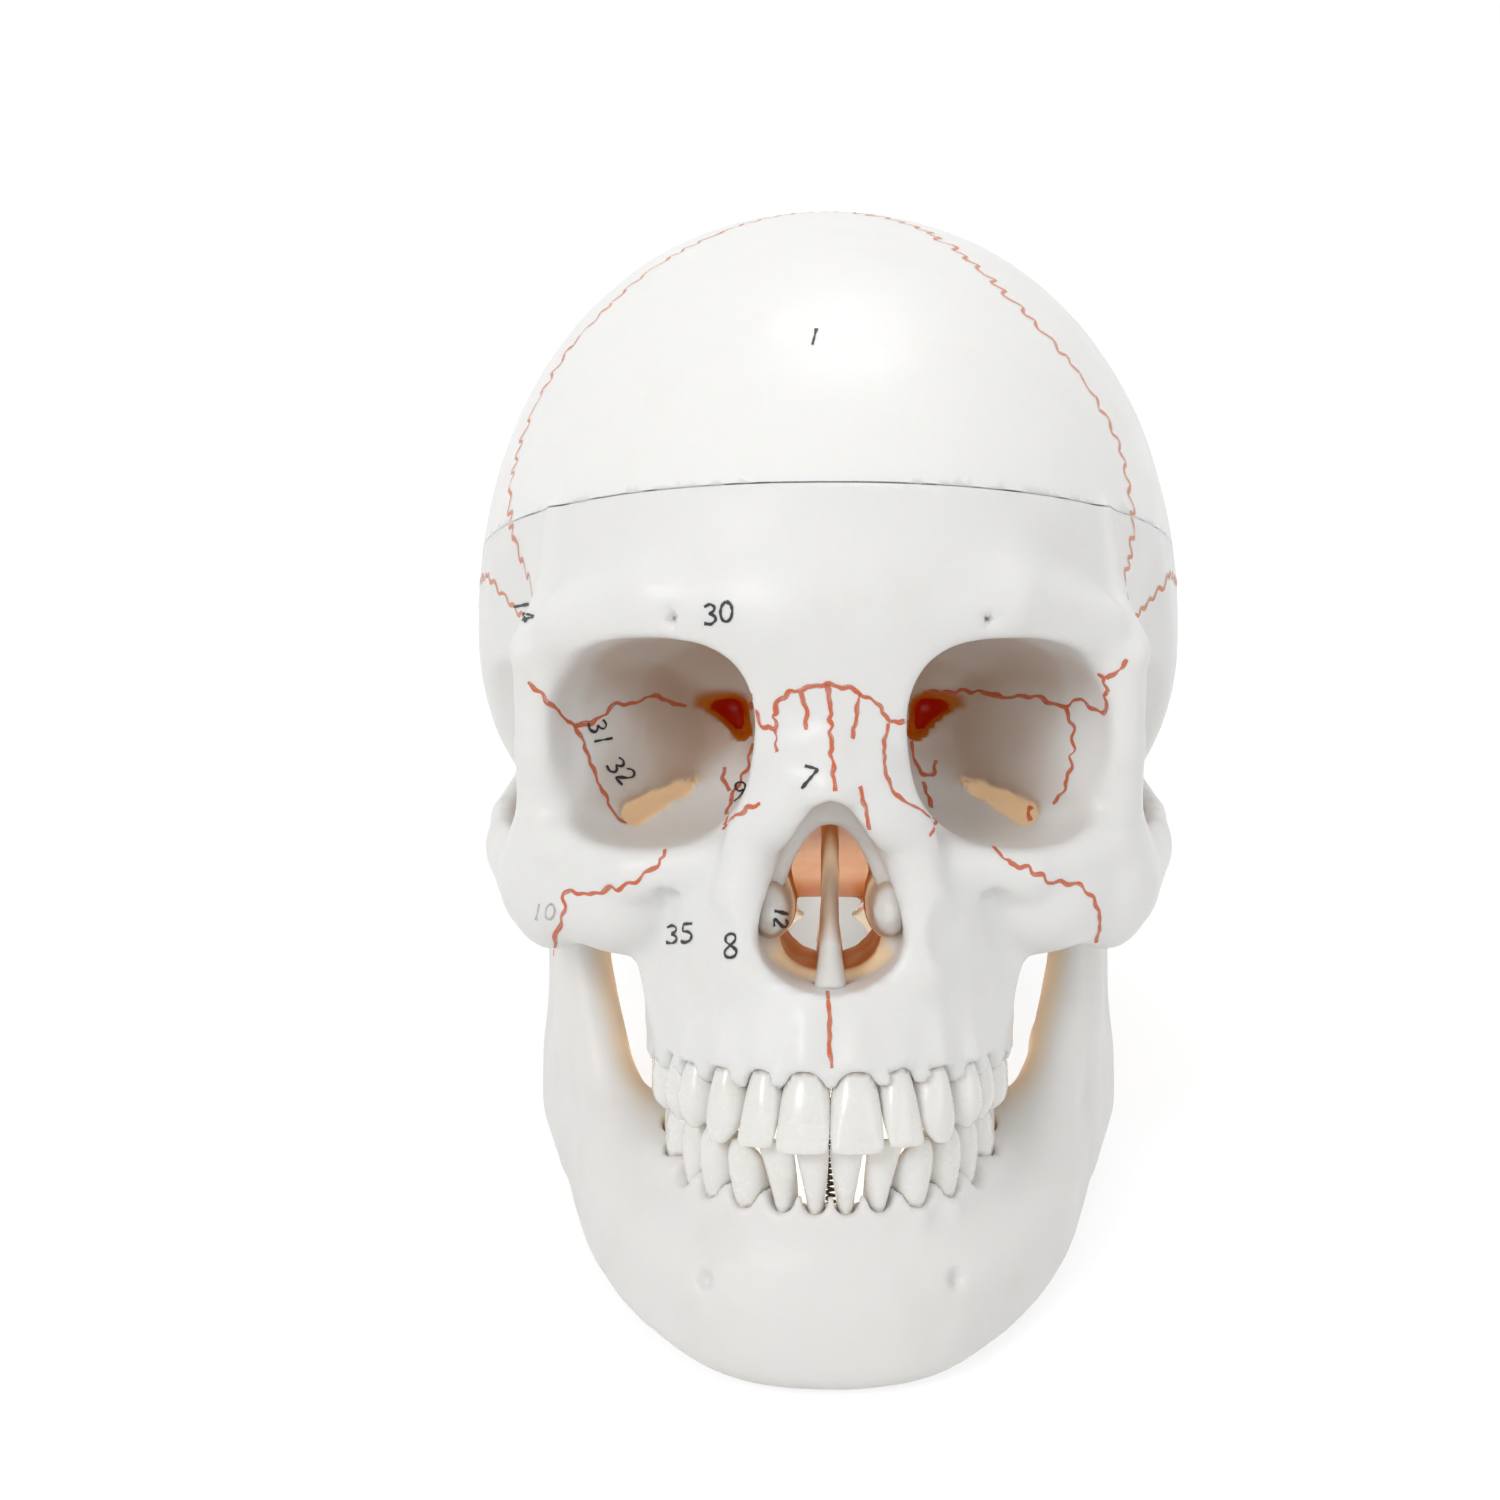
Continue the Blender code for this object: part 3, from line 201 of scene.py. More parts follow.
    def plane(self, point, normal):
        """Negative on the side that the normal points away from."""
        offset = self.vector("SUBTRACT", self.point, point)
        return self.vector("DOT_PRODUCT", offset, Vector(normal).normalized())

    def arch_distance(self, half_width, front, back, power, level=0.0, slant=0.0):
        """Distance in plan to a horseshoe line that is open to the back and slants with height."""
        shift = self.number("MULTIPLY", self.number("SUBTRACT", self.up, level), slant)
        place = self.number("SUBTRACT", self.along, shift)
        forward = self.number("MAXIMUM", self.number("SUBTRACT", back, place), 0.0)
        side = self.number("MAXIMUM", self.side, speck)
        unit_out = self.number("POWER", self.number("DIVIDE", side, half_width), power)
        unit_along = self.number("POWER", self.number("DIVIDE", forward, back - front), power)
        reach = self.number("POWER", self.number("ADD", unit_out, unit_along), 1 / power)
        length = self.vector("LENGTH", self.vector_of(side, forward, 0.0))
        return self.number("SUBTRACT", length, self.number("DIVIDE", length, reach))

    def fence(self, distance, low, high, half_thickness, rounding):
        """An upright wall of rounded section that follows a line in plan."""
        inner = self.number("SUBTRACT", half_thickness, rounding)
        flat = self.number("MAXIMUM", self.number("SUBTRACT", self.number("ABSOLUTE", distance), inner), 0.0)
        under = self.number("SUBTRACT", self.number("ADD", low, rounding), self.up)
        over = self.number("SUBTRACT", self.up, self.number("SUBTRACT", high, rounding))
        rise = self.number("MAXIMUM", self.number("MAXIMUM", under, over), 0.0)
        return self.number("SUBTRACT", self.vector("LENGTH", self.vector_of(flat, rise, 0.0)), rounding)

    def join(self, first, second, blend):
        return self.number("SMOOTH_MIN", first, second, blend)

    def keep(self, first, second, blend):
        return self.number("SMOOTH_MAX", first, second, blend)

    def cut(self, first, second, blend):
        return self.number("SMOOTH_MAX", first, self.number("MULTIPLY", second, -1.0), blend)

    def ripple(self, distance, spacing, depth):
        """Uneven hand-finished surface: the skin moves in and out by a little."""
        texture = self.tree.nodes.new("ShaderNodeTexNoise")
        self.tree.links.new(self.place, texture.inputs["Vector"])
        texture.inputs["Scale"].default_value = 1 / spacing
        texture.inputs["Detail"].default_value = 2.0
        swing = self.number("SUBTRACT", texture.outputs[0], 0.5)
        return self.number("MULTIPLY_ADD", swing, 2 * depth, distance)

    def solid(self, distance, low, high, cell, material):
        """Turn the distance into the mesh of the solid's skin."""
        cell_size = self.size("Cell", cell)
        density = self.number("SUBTRACT", 1.0, self.number("DIVIDE", distance, cell_size))
        cube = self.tree.nodes.new("GeometryNodeVolumeCube")
        self.tree.links.new(density, cube.inputs["Density"])
        cube.inputs["Min"].default_value = low
        cube.inputs["Max"].default_value = high
        for label, start, end in zip("XYZ", low, high):
            steps = self.number("ROUND", self.number("DIVIDE", end - start, cell_size))
            self.tree.links.new(self.number("ADD", steps, 1.0), cube.inputs["Resolution " + label])
        skin = self.tree.nodes.new("GeometryNodeVolumeToMesh")
        skin.inputs["Threshold"].default_value = 1.0
        self.tree.links.new(cube.outputs[0], skin.inputs[0])
        real = self.tree.nodes.new("GeometryNodeRealizeInstances")
        coat = self.tree.nodes.new("GeometryNodeSetMaterial")
        coat.inputs["Material"].default_value = material
        output = self.tree.nodes.new("NodeGroupOutput")
        for first, second in ((skin, real), (real, coat), (coat, output)):
            self.tree.links.new(first.outputs[0], second.inputs[0])
        return grown(self.tree, self.name, self.values)


def grown(tree, name, values, mesh=None):
    """Run a Geometry Nodes tree with these named inputs and return the finished mesh."""
    carrier = bpy.data.objects.new(name, mesh or bpy.data.meshes.new(name))
    bpy.context.collection.objects.link(carrier)
    modifier = carrier.modifiers.new(name, "NODES")
    modifier.node_group = tree
    for item in tree.interface.items_tree:
        if item.item_type == "SOCKET" and item.in_out == "INPUT" and item.name in values:
            modifier[item.identifier] = values[item.name]
    graph = bpy.context.evaluated_depsgraph_get()
    result = bpy.data.meshes.new_from_object(carrier.evaluated_get(graph))
    carrier.modifiers.remove(modifier)
    bpy.data.objects.remove(carrier)
    return result


print("clay ready")

# %% [markdown]
# ## Sizes of the head
# The tables hold the bones as a sculptor would rough them in: rounded masses, rods along the ridges,
# and hollows. Places and radii are shares of the head's height, on the skull's left side.

# %% Forms of the skull
wall = 0.0045
skull_cell = 0.0011
jaw_cell = 0.0008
BASE_BALLS = {
    "cerebellar_bulge": ((0.070, 0.180, -0.020), (0.180, 0.208, 0.198)),
    "mastoid": ((0.243, 0.062, -0.050), (0.048, 0.066, 0.096)),
    "occipital_condyle": ((0.058, 0.050, -0.108), (0.024, 0.048, 0.026)),
    "ethmoid": ((0, -0.320, 0.070), (0.070, 0.120, 0.120)),
    "maxilla": ((0.060, -0.318, -0.062), (0.080, 0.118, 0.108)),
    "pterygoid": ((0.078, -0.185, -0.095), (0.022, 0.040, 0.085)),
    "glabella": ((0, -0.425, 0.185), (0.085, 0.050, 0.050)),
}
BASE_RODS = {
    "clivus": (((0, -0.260, 0.020), (0, -0.150, 0.006), (0, -0.005, -0.078)), (0.058, 0.048, 0.024)),
    "brow": (((0.045, -0.430, 0.178), (0.140, -0.412, 0.192), (0.222, -0.358, 0.170)),
             (0.030, 0.027, 0.022)),
}
FACE_BALLS = {
    "cheekbone": ((0.234, -0.290, -0.040), (0.044, 0.052, 0.066)),
    "cheek_root": ((0.170, -0.318, -0.050), (0.072, 0.058, 0.055)),
    "orbit_side_wall": ((0.208, -0.285, 0.010), (0.034, 0.050, 0.070)),
    "nasal_spine": ((0, -0.448, -0.112), (0.012, 0.026, 0.010)),
}
FACE_RODS = {
    "orbit_outer_rim": (((0.236, -0.300, -0.010), (0.240, -0.328, 0.070), (0.238, -0.345, 0.150)),
                        (0.028, 0.023, 0.024)),
    "orbit_lower_rim": (((0.228, -0.325, -0.010), (0.160, -0.372, -0.030), (0.095, -0.398, -0.020)),
                        (0.026, 0.024, 0.022)),
    "cheek_crest": (((0.212, -0.302, -0.066), (0.146, -0.322, -0.084), (0.128, -0.335, -0.150)),
                    (0.026, 0.023, 0.022)),
    "temple_line": (((0.230, -0.307, 0.262), (0.2365, -0.318, 0.200), (0.253, -0.357, 0.147)),
                    (0.008, 0.009, 0.009)),
    "nasal_bridge": (((0, -0.426, 0.140), (0, -0.440, 0.100), (0, -0.470, 0.046)),
                     (0.027, 0.023, 0.021)),
    "nasal_side": (((0.020, -0.432, 0.120), (0.032, -0.448, 0.062), (0.048, -0.442, 0.018)),
                   (0.020, 0.021, 0.023)),
    "nasal_edge": (((0.022, -0.458, 0.052), (0.036, -0.452, 0.030)), (0.022, 0.022)),
    "nasal_process": (((0.044, -0.420, 0.120), (0.058, -0.432, 0.030),
                       (0.074, -0.428, -0.045), (0.070, -0.425, -0.105)), (0.022, 0.022, 0.020, 0.024)),
}
cheek_arch = ((0.264, -0.285, -0.048), (0.290, -0.190, -0.028), (0.296, -0.110, -0.016), (0.284, 0, 0.004))
cheek_arch_radii = (0.034, 0.026, 0.024, 0.030)
temple_hollow = ((0.345, -0.208, -0.008), (0.155, 0.140, 0.163))
temple_shave = ((0.545, -0.335, 0.140), (0.305, 0.305, 0.290))
middle_fossa = ((0.155, -0.075, 0.085), (0.095, 0.098, 0.085))
foramen = ((0, 0.098, -0.110), (0.073, 0.086, 0.140))
jaw_socket_room = ((0.250, -0.040, 0.010), (0.070, 0.062, 0.050))
mouth_roof = ((0, -0.300, -0.225), (0.096, 0.140, 0.072))
HOLES = {
    "throat": (((0, -0.150, -0.140), (0, 0.010, -0.150)), (0.042, 0.042)),
    "ear_canal": (((0.330, 0.015, -0.018), (0.225, 0.000, -0.022)), (0.019, 0.019)),
    "upper_fissure": (((0.076, -0.2175, 0.076), (0.084, -0.215, 0.093), (0.109, -0.2275, 0.100)),
                      (0.0080, 0.0115, 0.0045)),
    "upper_fissure_back": (((0.079, -0.200, 0.080), (0.085, -0.1975, 0.094), (0.103, -0.210, 0.0985)),
                           (0.0070, 0.0095, 0.0050)),
    "lower_fissure": (((0.1685, -0.2850, 0.0085), (0.1495, -0.2645, 0.0185), (0.1290, -0.2450, 0.0275),
                       (0.1150, -0.2325, 0.0340)), (0.0100, 0.0070, 0.0048, 0.0020)),
    "lower_fissure_back": (((0.1710, -0.2740, 0.0045), (0.1520, -0.2535, 0.0145), (0.1300, -0.2340, 0.0235),
                            (0.1160, -0.2235, 0.0300)), (0.0110, 0.0085, 0.0060, 0.0030)),
}
DENTS = {
    "upper_foramen": ((0.1245, -0.4445, 0.1790), (0.0055, 0.0100, 0.0050)),
    "cheek_foramen": ((0.1330, -0.3915, -0.0470), (0.0110, 0.0120, 0.0060)),
    "canine_fossa": ((0.125, -0.500, -0.075), (0.060, 0.090, 0.055)),
}
orbit_side_place, orbit_side_way = (0.252, -0.360, 0.090), (0.70, 0.71, -0.06)
condyle = Vector((0.0483, -0.0097, -0.0030))
condyle_radii = Vector((0.0088, 0.0045, 0.0045))
joint_gap = 0.0012
braincase_half_breadth = 0.0665
nose_half_width = 0.0118
jaw_opening = math.radians(20)
neck_foot = at((0.239, -0.054, -0.080))
cut_point = Vector((0, -0.0900, 0.0573))
cut_normal = Vector((0, 0.130, 1)).normalized()
cut_gap = 0.0003
ground_way = Matrix.Rotation(head_lean, 3, "X") @ Vector((0, 0, -1))
ground_point = ground_way * 0.0552
print(len(BASE_BALLS) + len(BASE_RODS) + len(FACE_BALLS) + len(FACE_RODS), "masses and ridges")

# %% [markdown]
# ## The two rows of teeth
# The teeth stand on a horseshoe line, each as wide as its share of the front incisor, and lean out a
# little. The same rows are needed twice: for the teeth, and for the scalloped edge of the bone.

# %% Places of the teeth
arch_power = 2.3
bite_level = -0.0482
root_depth = 0.0055
incisor_width = 0.0084
tooth_spacing = 0.0002
contact_height = 0.75
UPPER = {"half": 0.0255, "front": -0.0905, "back": -0.0540, "gum": -0.0362, "slope": -0.024, "up": -1,
         "kinds": {"central_incisor": (1.00, 0.83, 0.095, 0.36), "side_incisor": (0.77, 0.74, 0.024, 0.33),
                   "canine": (0.88, 0.92, 0.060, 0.22), "first_premolar": (0.81, 1.04, -0.226, 0.10),
                   "second_premolar": (0.78, 1.04, -0.226, 0.08), "first_molar": (1.17, 1.26, -0.226, 0.05),
                   "second_molar": (1.10, 1.24, -0.226, 0.05), "third_molar": (0.98, 1.14, -0.226, 0.05)}}
LOWER = {"half": 0.0237, "front": -0.0880, "back": -0.0520, "gum": -0.0596, "slope": 0.080, "up": 1,
         "kinds": {"central_incisor": (0.62, 0.70, 0.110, 0.36), "side_incisor": (0.69, 0.74, 0.110, 0.33),
                   "canine": (0.79, 0.88, 0.040, 0.22), "first_premolar": (0.81, 0.88, 0.080, 0.05),
                   "second_premolar": (0.82, 0.95, 0.167, 0.02), "first_molar": (1.28, 1.18, 0.167, 0),
                   "second_molar": (1.21, 1.15, 0.167, 0), "third_molar": (1.15, 1.09, 0.167, 0)}}


def arch_line(half, front, back, steps=240):
    """Points along one side of a dental arch."""
    points = []
    for step in range(steps + 1):
        turn = math.pi / 2 * step / steps
        points.append(Vector((half * math.sin(turn) ** (2 / arch_power),
                              back - (back - front) * math.cos(turn) ** (2 / arch_power), 0)))
    points.append(Vector((half, back - 2 * (front - back), 0)))
    return points


def arch_place(points, distance):
    """The point at this distance along a line, and the direction there."""
    for start, end in zip(points, points[1:]):
        step = (end - start).length
        if distance <= step:
            return start.lerp(end, distance / step), (end - start).normalized()
        distance -= step


def tooth_row(jaw):
    """Frame and sizes of every tooth on the skull's left side of one jaw."""
    lean = jaw["kinds"]["central_incisor"][3]
    reach = lean * contact_height * abs(bite_level - jaw["gum"])
    line = arch_line(jaw["half"], jaw["front"] - reach, jaw["back"])
    row, travel = [], 0
    for kind, (width_share, depth_share, reach_share, lean) in jaw["kinds"].items():
        width = width_share * incisor_width
        place, direction = arch_place(line, travel + width / 2)
        travel += width + tooth_spacing
        gum = jaw["gum"] + jaw["slope"] * (place.y - line[0].y)
        crown = abs(bite_level + jaw["up"] * reach_share * incisor_width - gum)
        outward = Vector((direction.y, -direction.x, 0))
        place = place - outward * lean * contact_height * crown
        place.z = gum
        turn = Matrix((direction, outward, Vector((0, 0, jaw["up"])))).transposed().to_4x4()
        row.append({"kind": kind, "width": width, "depth": depth_share * incisor_width, "lean": lean,
                    "crown": crown, "place": place, "outward": outward, "turn": turn})
    return row


rows = {"upper": tooth_row(UPPER), "lower": tooth_row(LOWER)}
print("teeth:", sum(len(row) for row in rows.values()) * 2)

# %% [markdown]
# ## Moulded PVC
# The bones are cast in one off-white plastic that lets a little light in. Deep hollows get painted
# shade, a warmer and darker tone where a point is enclosed, and a painted glow that stands in for light
# that has passed through the wall and bounced many times. One shader group paints both from stored
# measures of how enclosed each point is and where it glows; others add faint mottling and pores.

# %% Shader groups
def shader_group(name, inputs, outputs):
    """An empty shader node group with named sockets."""
    group = bpy.data.node_groups.new(name, "ShaderNodeTree")
    for label, kind, value in inputs:
        socket = group.interface.new_socket(label, in_out="INPUT", socket_type="NodeSocket" + kind)
        socket.default_value = value
    for label, kind in outputs:
        group.interface.new_socket(label, in_out="OUTPUT", socket_type="NodeSocket" + kind)
    return group, group.nodes.new("NodeGroupInput"), group.nodes.new("NodeGroupOutput")


def mixer(tree, mode="MIX"):
    """A colour mix node and its sockets: factor, first, second, result."""
    node = tree.nodes.new("ShaderNodeMix")
    node.data_type = "RGBA"
    node.blend_type = mode
    return node.inputs[0], node.inputs[6], node.inputs[7], node.outputs[2]


def spread(tree, value, low, high, start=0.0, end=1.0):
    """A smooth ramp of one value."""
    node = tree.nodes.new("ShaderNodeMapRange")
    node.interpolation_type = "SMOOTHSTEP"
    tree.links.new(value, node.inputs["Value"])
    for label, setting in (("From Min", low), ("From Max", high), ("To Min", start), ("To Max", end)):
        if isinstance(setting, bpy.types.NodeSocket):
            tree.links.new(setting, node.inputs[label])
        else:
            node.inputs[label].default_value = setting
    return node.outputs[0]


# Painted shade and glow: Tan darkens enclosed places as painted shade, and Peach, Orange and Red, led by Warmth and
# Ember, paint the light that the thin walls would let through.
shade_and_glow_group, into, out = shader_group("Warm hollows", (
    ("Colour", "Color", (0.8, 0.8, 0.8, 1)), ("Hollow", "Float", 0.0), ("Warmth", "Float", 0.0),
    ("Ember", "Float", 0.0), ("Tan", "Color", (0.56, 0.41, 0.31, 1)),
    ("Peach", "Color", (0.79, 0.61, 0.41, 1)),
    ("Orange", "Color", (0.38, 0.10, 0.001, 1)), ("Red", "Color", (0.33, 0.008, 0.001, 1)),
    ("Tan From", "Float", 0.38), ("Tan To", "Float", 0.78), ("Glow", "Float", 0.24)),
    (("Colour", "Color"), ("Glow", "Color")))
tree = shade_and_glow_group
tone = into.outputs["Colour"]
steps = (("Hollow", "Tan", into.outputs["Tan From"], into.outputs["Tan To"]), ("Warmth", "Peach", 0.0, 0.33),
         ("Warmth", "Orange", 0.33, 0.66), ("Ember", "Orange", 0.0, 0.35), ("Ember", "Red", 0.35, 0.95))
for label, colour, low, high in steps:
    factor, first, second, mixed = mixer(tree)
    tree.links.new(spread(tree, into.outputs[label], low, high), factor)
    tree.links.new(tone, first)
    tree.links.new(into.outputs[colour], second)
    tone = mixed
tree.links.new(tone, out.inputs["Colour"])
# The painted glow goes out to the emission, so warm hollows and fissures light up though no lamp is there.
larger = tree.nodes.new("ShaderNodeMath")
larger.operation = "MAXIMUM"
tree.links.new(spread(tree, into.outputs["Warmth"], 0.0, 0.40), larger.inputs[0])
tree.links.new(spread(tree, into.outputs["Ember"], 0.0, 0.70), larger.inputs[1])
strength = tree.nodes.new("ShaderNodeMath")
strength.operation = "MULTIPLY"
tree.links.new(larger.outputs[0], strength.inputs[0])
tree.links.new(into.outputs["Glow"], strength.inputs[1])
factor, first, second, glow = mixer(tree)
tree.links.new(strength.outputs[0], factor)
first.default_value = (0, 0, 0, 1)
tree.links.new(tone, second)
tree.links.new(glow, out.inputs["Glow"])

mottle_group, into, out = shader_group("Mottle", (
    ("Colour", "Color", (0.8, 0.8, 0.8, 1)), ("Stain", "Color", (0.7, 0.66, 0.6, 1)),
    ("Scale", "Float", 60.0), ("Amount", "Float", 0.3)), (("Colour", "Color"),))
tree = mottle_group
where = tree.nodes.new("ShaderNodeTexCoord")
cloud = tree.nodes.new("ShaderNodeTexNoise")
cloud.inputs["Detail"].default_value = 5.0
tree.links.new(where.outputs["Object"], cloud.inputs["Vector"])
tree.links.new(into.outputs["Scale"], cloud.inputs["Scale"])
share = tree.nodes.new("ShaderNodeMath")
share.operation = "MULTIPLY"
tree.links.new(spread(tree, cloud.outputs[0], 0.48, 0.78), share.inputs[0])
tree.links.new(into.outputs["Amount"], share.inputs[1])
factor, first, second, result = mixer(tree)
tree.links.new(share.outputs[0], factor)
tree.links.new(into.outputs["Colour"], first)
tree.links.new(into.outputs["Stain"], second)
tree.links.new(result, out.inputs["Colour"])

pore_group, into, out = shader_group("Cast surface", (
    ("Fine Scale", "Float", 900.0), ("Wave Scale", "Float", 120.0), ("Wave", "Float", 0.5)),
    (("Height", "Float"), ("Rough", "Float")))
tree = pore_group
where = tree.nodes.new("ShaderNodeTexCoord")
heights = []
for label in ("Fine Scale", "Wave Scale"):
    grain = tree.nodes.new("ShaderNodeTexNoise")
    grain.inputs["Detail"].default_value = 3.0
    tree.links.new(where.outputs["Object"], grain.inputs["Vector"])
    tree.links.new(into.outputs[label], grain.inputs["Scale"])
    heights.append(grain.outputs[0])
blend = tree.nodes.new("ShaderNodeMix")
tree.links.new(into.outputs["Wave"], blend.inputs[0])
tree.links.new(heights[0], blend.inputs[2])
tree.links.new(heights[1], blend.inputs[3])
tree.links.new(blend.outputs[0], out.inputs["Height"])
tree.links.new(spread(tree, heights[1], 0.35, 0.65), out.inputs["Rough"])
print("shader groups:", [group.name for group in bpy.data.node_groups if group.type == "SHADER"])

# %% [markdown]
# ## Four tones of cast bone
# The cap's white is set lighter than the base's, which paints the extra light that falls on the top of
# the skull; the jaw's white is a little darker and warmer. All four tones share one recipe: mottled
# colour, painted shade and glow in the hollows, dirt at the joints and fine pores.

# %% Bone materials
def use_group(tree, group, **settings):
    """Add a group node and set its constants."""
    node = tree.nodes.new("ShaderNodeGroup")
    node.node_tree = group
    for label, value in settings.items():
        node.inputs[label.replace("_", " ")].default_value = value
    return node


def attribute(tree, name):
    """A stored float of the mesh."""
    node = tree.nodes.new("ShaderNodeAttribute")
    node.attribute_name = name
    return node.outputs["Fac"]


def bone_material(name, colour, stain, tan, rough, soft=0.25, bump=0.12, **hollow):
    """Off-white cast PVC with painted shade and painted glow in its hollows."""
    material = bpy.data.materials.new(name)
    material.use_nodes = True
    tree = material.node_tree
    shader = tree.nodes["Principled BSDF"]
    mottle = use_group(tree, mottle_group, Colour=(*colour, 1), Stain=(*stain, 1), Scale=55.0, Amount=0.45)
    warm = use_group(tree, shade_and_glow_group, Tan=(*tan, 1), **hollow)
    tree.links.new(mottle.outputs[0], warm.inputs["Colour"])
    # Painted shade and glow, read from the stored hollow, warmth and ember measures.
    for label in ("Hollow", "Warmth", "Ember"):
        tree.links.new(attribute(tree, label.lower()), warm.inputs[label])
    # Painted glow: the tinted hollows are sent to the emission.
    tree.links.new(warm.outputs["Glow"], shader.inputs["Emission Color"])
    shader.inputs["Emission Strength"].default_value = 1.0
    grime = attribute(tree, "grime")
    factor, first, second, result = mixer(tree)
    tree.links.new(grime, factor)
    tree.links.new(warm.outputs[0], first)
    second.default_value = (0.25, 0.16, 0.09, 1)
    tree.links.new(result, shader.inputs["Base Color"])
    cast = use_group(tree, pore_group)
    tree.links.new(spread(tree, cast.outputs["Rough"], 0.0, 1.0, rough - 0.05, rough + 0.06),
                   shader.inputs["Roughness"])
    relief = tree.nodes.new("ShaderNodeBump")
    relief.inputs["Strength"].default_value = bump
    relief.inputs["Distance"].default_value = 0.0004
    tree.links.new(cast.outputs["Height"], relief.inputs["Height"])
    tree.links.new(relief.outputs[0], shader.inputs["Normal"])
    shader.inputs["Subsurface Weight"].default_value = soft
    shader.inputs["Subsurface Radius"].default_value = (1.0, 0.55, 0.3)
    shader.inputs["Subsurface Scale"].default_value = 0.003
    shader.inputs["IOR"].default_value = 1.48
    return material


# The tone that the painted shade darkens to. The jaw's is warmer and starts sooner, as painted glow on its inner side.
painted_shade_colour = (0.56, 0.41, 0.31)
base_bone = bone_material("cast_bone", (0.83, 0.825, 0.81), (0.76, 0.745, 0.715), painted_shade_colour, 0.40)
# The cap's white is set lighter than the base's: painted light on the top of the skull.
cap_bone = bone_material("cast_cap", (0.90, 0.895, 0.875), (0.85, 0.835, 0.80), painted_shade_colour, 0.34)
jaw_bone = bone_material("cast_jaw", (0.82, 0.805, 0.785), (0.74, 0.715, 0.68), (0.80, 0.58, 0.38), 0.46,
                         Tan_From=0.20, Tan_To=0.60, Glow=0.12)
inner_bone = bone_material("cast_inner", (0.80, 0.785, 0.76), (0.70, 0.67, 0.63), painted_shade_colour, 0.5)
print("bone materials ready")

# %% [markdown]
# ## The skull in clay
# Braincase first, then the face: brow, cheekbones, nasal bones and the tooth ridge are added, and the
# temples, orbits, nose and the cranial cavity are taken away, in the order a carver would work.

# %% Skull base, face and cap as one field
def add_balls(clay, solid, table, blend):
    for centre, radii in table.values():
        solid = clay.join(solid, clay.ball(at(centre), at(radii)), blend)
    return solid


def add_rods(clay, solid, table, blend):
    for points, radii in table.values():
        rod = clay.rod([at(point) for point in points], [along(radius) for radius in radii])
        solid = clay.join(solid, rod, blend)
    return solid


def braincase(clay, half_breadth, inset):
    reach, rear = at((0, 0.560, 0.396)), at((0, 0.335, 0.260))
    return clay.egg(at((0, 0.090, 0.155)), clay.number("SUBTRACT", half_breadth, inset), reach.y - inset,
                    rear.y - inset, reach.z - inset, rear.z - inset, 2.15)


def cranial_cavity(clay, half_breadth):
    """The hollow of the braincase, with its front, middle and rear floors."""
    inner = braincase(clay, half_breadth, wall)
    centre, radii = BASE_BALLS["cerebellar_bulge"]
    inner_bulge = clay.ball(at(centre), at(radii) - Vector((wall, wall, wall)))
    front = clay.plane(at((0, 0, 0.183)), (0, 0, -1))
    slope = clay.plane(at((0, -0.140, 0.040)), (0, -0.775, -1))
    middle = clay.keep(slope, clay.plane(at((0, -0.165, 0)), (0, -1, 0)), firm_blend)
    hollow = clay.keep(inner, front, firm_blend)
    hollow = clay.join(hollow, clay.keep(inner, middle, firm_blend), firm_blend)
    hollow = clay.join(hollow, clay.ball(at(middle_fossa[0]), at(middle_fossa[1])), firm_blend)
    hollow = clay.join(hollow, inner_bulge, crisp_blend)
    for centre, radii in (temple_hollow, temple_shave):
        hollow = clay.cut(hollow, clay.ball(at(centre), at(radii) + Vector((wall, wall, wall))), crisp_blend)
    return clay.cut(hollow, clay.ball(at(jaw_socket_room[0]), at(jaw_socket_room[1])), firm_blend)


def orbit_cavity(clay, half_width, half_height):
    """The eye socket: boxy at its rim, running back and inwards to its apex."""
    centre = Vector((0.0303, at((0, -0.380, 0)).y, 0.0153))
    back = clay.number("MAXIMUM", clay.number("SUBTRACT", clay.along, centre.y), 0.0)
    aside = clay.number("MULTIPLY_ADD", back, 0.28, clay.side)
    rise = clay.number("SUBTRACT", clay.up, centre.z)
    aside = clay.number("MULTIPLY_ADD", rise, 0.10, aside)
    hollow = clay.egg(centre, half_width, 0.0990, 0.0330, half_height, half_height, 2.6, aside)
    return clay.keep(hollow, clay.plane(at(orbit_side_place), orbit_side_way), firm_blend)


def nasal_passage(clay, half_width):
    """The pear-shaped nasal opening and the narrower passage behind it."""
    centre = Vector((0, at((0, -0.320, 0)).y, -0.0150))
    rise = clay.number("MAXIMUM", clay.number("SUBTRACT", clay.up, centre.z), 0.0)
    narrow = clay.number("MULTIPLY_ADD", clay.number("POWER", rise, 1.5), 190.0, 1.0)
    aside = clay.number("MULTIPLY", clay.side, narrow)
    pear = clay.egg(centre, half_width, 0.400, 0.400, 0.0225, 0.0090, 2.1, aside)
    inner_half_width = clay.number("MULTIPLY", half_width, 0.74)
    inner = clay.egg(centre, inner_half_width, 0.400, 0.400, 0.0170, 0.0078, 2.3, aside)
    mouth = clay.keep(pear, clay.plane(Vector((0, -0.0790, 0)), (0, 1, 0.20)), firm_blend)
    both = clay.join(mouth, inner, crisp_blend)
    return clay.keep(both, clay.plane(at((0, -0.380, 0.050)), (0, 0.38, 1)), firm_blend)


